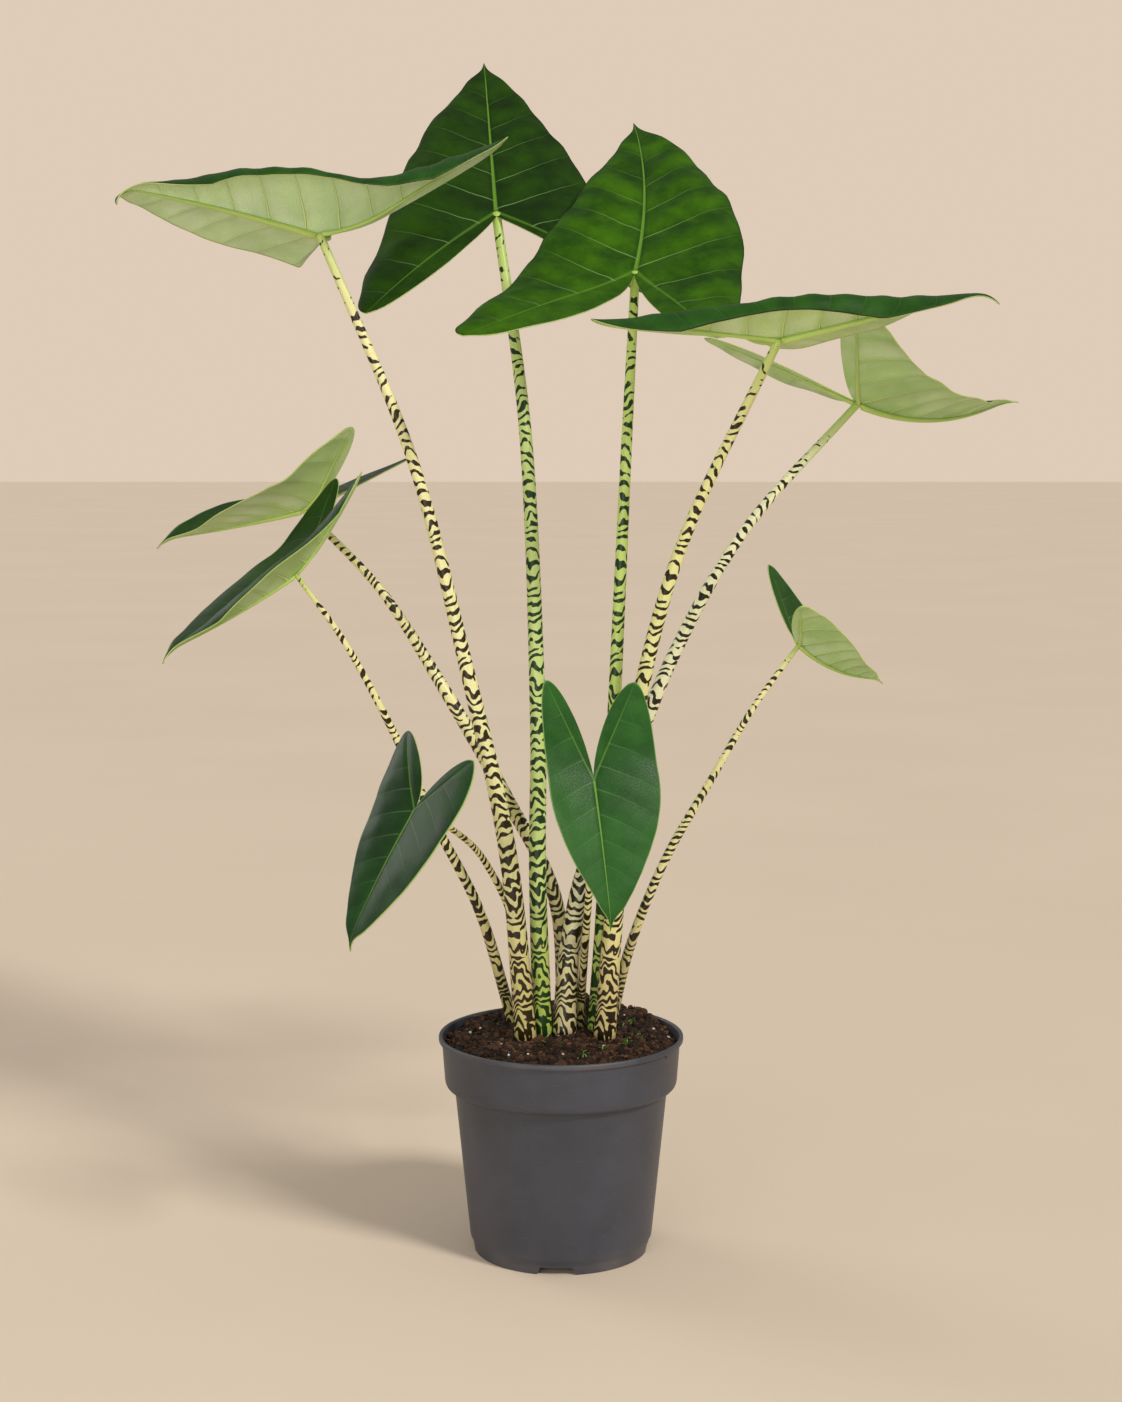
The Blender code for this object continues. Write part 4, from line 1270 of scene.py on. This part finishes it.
def make_mix_surface():
    """Everything that lies on the mix."""
    for name, count, seed, make_grain, finish, dark, light in (
            ("crumbs", 1900, 11, clod(1, 0.0008, 0.0030, 3, 1.2), "crumbs", (30, 20, 14), (98, 66, 46)),
            ("clods", 330, 12, clod(2, 0.0022, 0.0046, 1, 1.1), "clods", (28, 19, 13), (78, 52, 36)),
            ("bark", 90, 13, bark_chip, "bark", (38, 24, 15), (112, 74, 48)),
            ("grains", 34, 14, clod(2, 0.0007, 0.0016), "perlite", (196, 188, 176), (240, 236, 228)),
            ("fibres", 46, 15, root_thread, "fibres", (88, 60, 38), (168, 132, 88))):
        scatter("soil_" + name, count, seed, make_grain, tinted(finish, dark, light))
    make_sprouts()


# ---------------- studio

def make_world():
    """Soft even light all round. What the camera sees of it is as pale as the floor."""
    world = bpy.data.worlds.new("studio")
    bpy.context.scene.world = world
    world.use_nodes = True
    nodes = world.node_tree.nodes
    links = world.node_tree.links
    light = nodes["Background"]
    light.inputs["Color"].default_value = paint(236, 232, 226)
    light.inputs["Strength"].default_value = 0.46
    seen = nodes.new("ShaderNodeBackground")
    seen.inputs["Color"].default_value = paint(222, 204, 184)
    path = nodes.new("ShaderNodeLightPath")
    choice = nodes.new("ShaderNodeMixShader")
    links.new(path.outputs["Is Camera Ray"], choice.inputs[0])
    links.new(light.outputs[0], choice.inputs[1])
    links.new(seen.outputs[0], choice.inputs[2])
    links.new(choice.outputs[0], nodes["World Output"].inputs["Surface"])


def add_lamp(name, kind, place, aim, strength, tint, **settings):
    """A lamp at a place that shines along aim."""
    light = bpy.data.lights.new(name, kind)
    light.energy = strength
    light.color = tint
    for setting, value in settings.items():
        setattr(light, setting, value)
    lamp = placed(name, light)
    lamp.location = place
    lamp.rotation_euler = Vector(aim).to_track_quat("-Z", "Y").to_euler()


def make_floor():
    """Pale floor, hardly mottled."""
    made = bmesh.new()
    bmesh.ops.create_grid(made, x_segments=1, y_segments=1, size=30)
    mesh = mesh_from(made, "floor")
    finish = Finish("floor", 0.85, Specular_IOR_Level=0.1)
    cloud = finish.noise(1.2, 4, 0.6)
    finish.base(cloud.rise(0.3, 0.7), (224, 206, 186), (226, 209, 189))
    mesh.materials.append(finish.done())
    floor = placed("floor", mesh)


def make_studio():
    """Floor, surroundings, soft lamps and the camera."""
    make_floor()
    make_world()
    bpy.context.scene.view_settings.view_transform = "Standard"
    anywhere = Vector((0, 0, 0))
    add_lamp("key", "SUN", anywhere, (-0.62, 0.62, -0.75), 1.9, (1.0, 0.965, 0.91), angle=radians(12))
    add_lamp("back", "SUN", anywhere, (0.70, -0.55, -0.45), 0.55, (1.0, 0.98, 0.96), angle=radians(30))
    front = Vector((-0.9, -3.0, 0.55))
    middle = Vector((0, 0, 0.75))
    add_lamp("front", "AREA", front, middle - front, 46, (1.0, 0.99, 0.97), size=2.2)

    lens = bpy.data.cameras.new("camera")
    lens.sensor_fit = "VERTICAL"
    lens.sensor_height = 36
    lens.lens = CAMERA_LENS
    camera = placed("camera", lens)
    camera.location = AXIS + Vector((0, -CAMERA_DISTANCE, CAMERA_HEIGHT))
    camera.rotation_euler = (radians(90 - CAMERA_DIP), 0, 0)
    bpy.context.scene.camera = camera


def main():
    """Make every piece, then the studio."""
    make_pot()
    make_soil()
    make_mix_surface()
    rib_look = rib_finish()
    for leaf in LEAVES:
        make_leaf(leaf, rib_look)
    make_studio()


main()
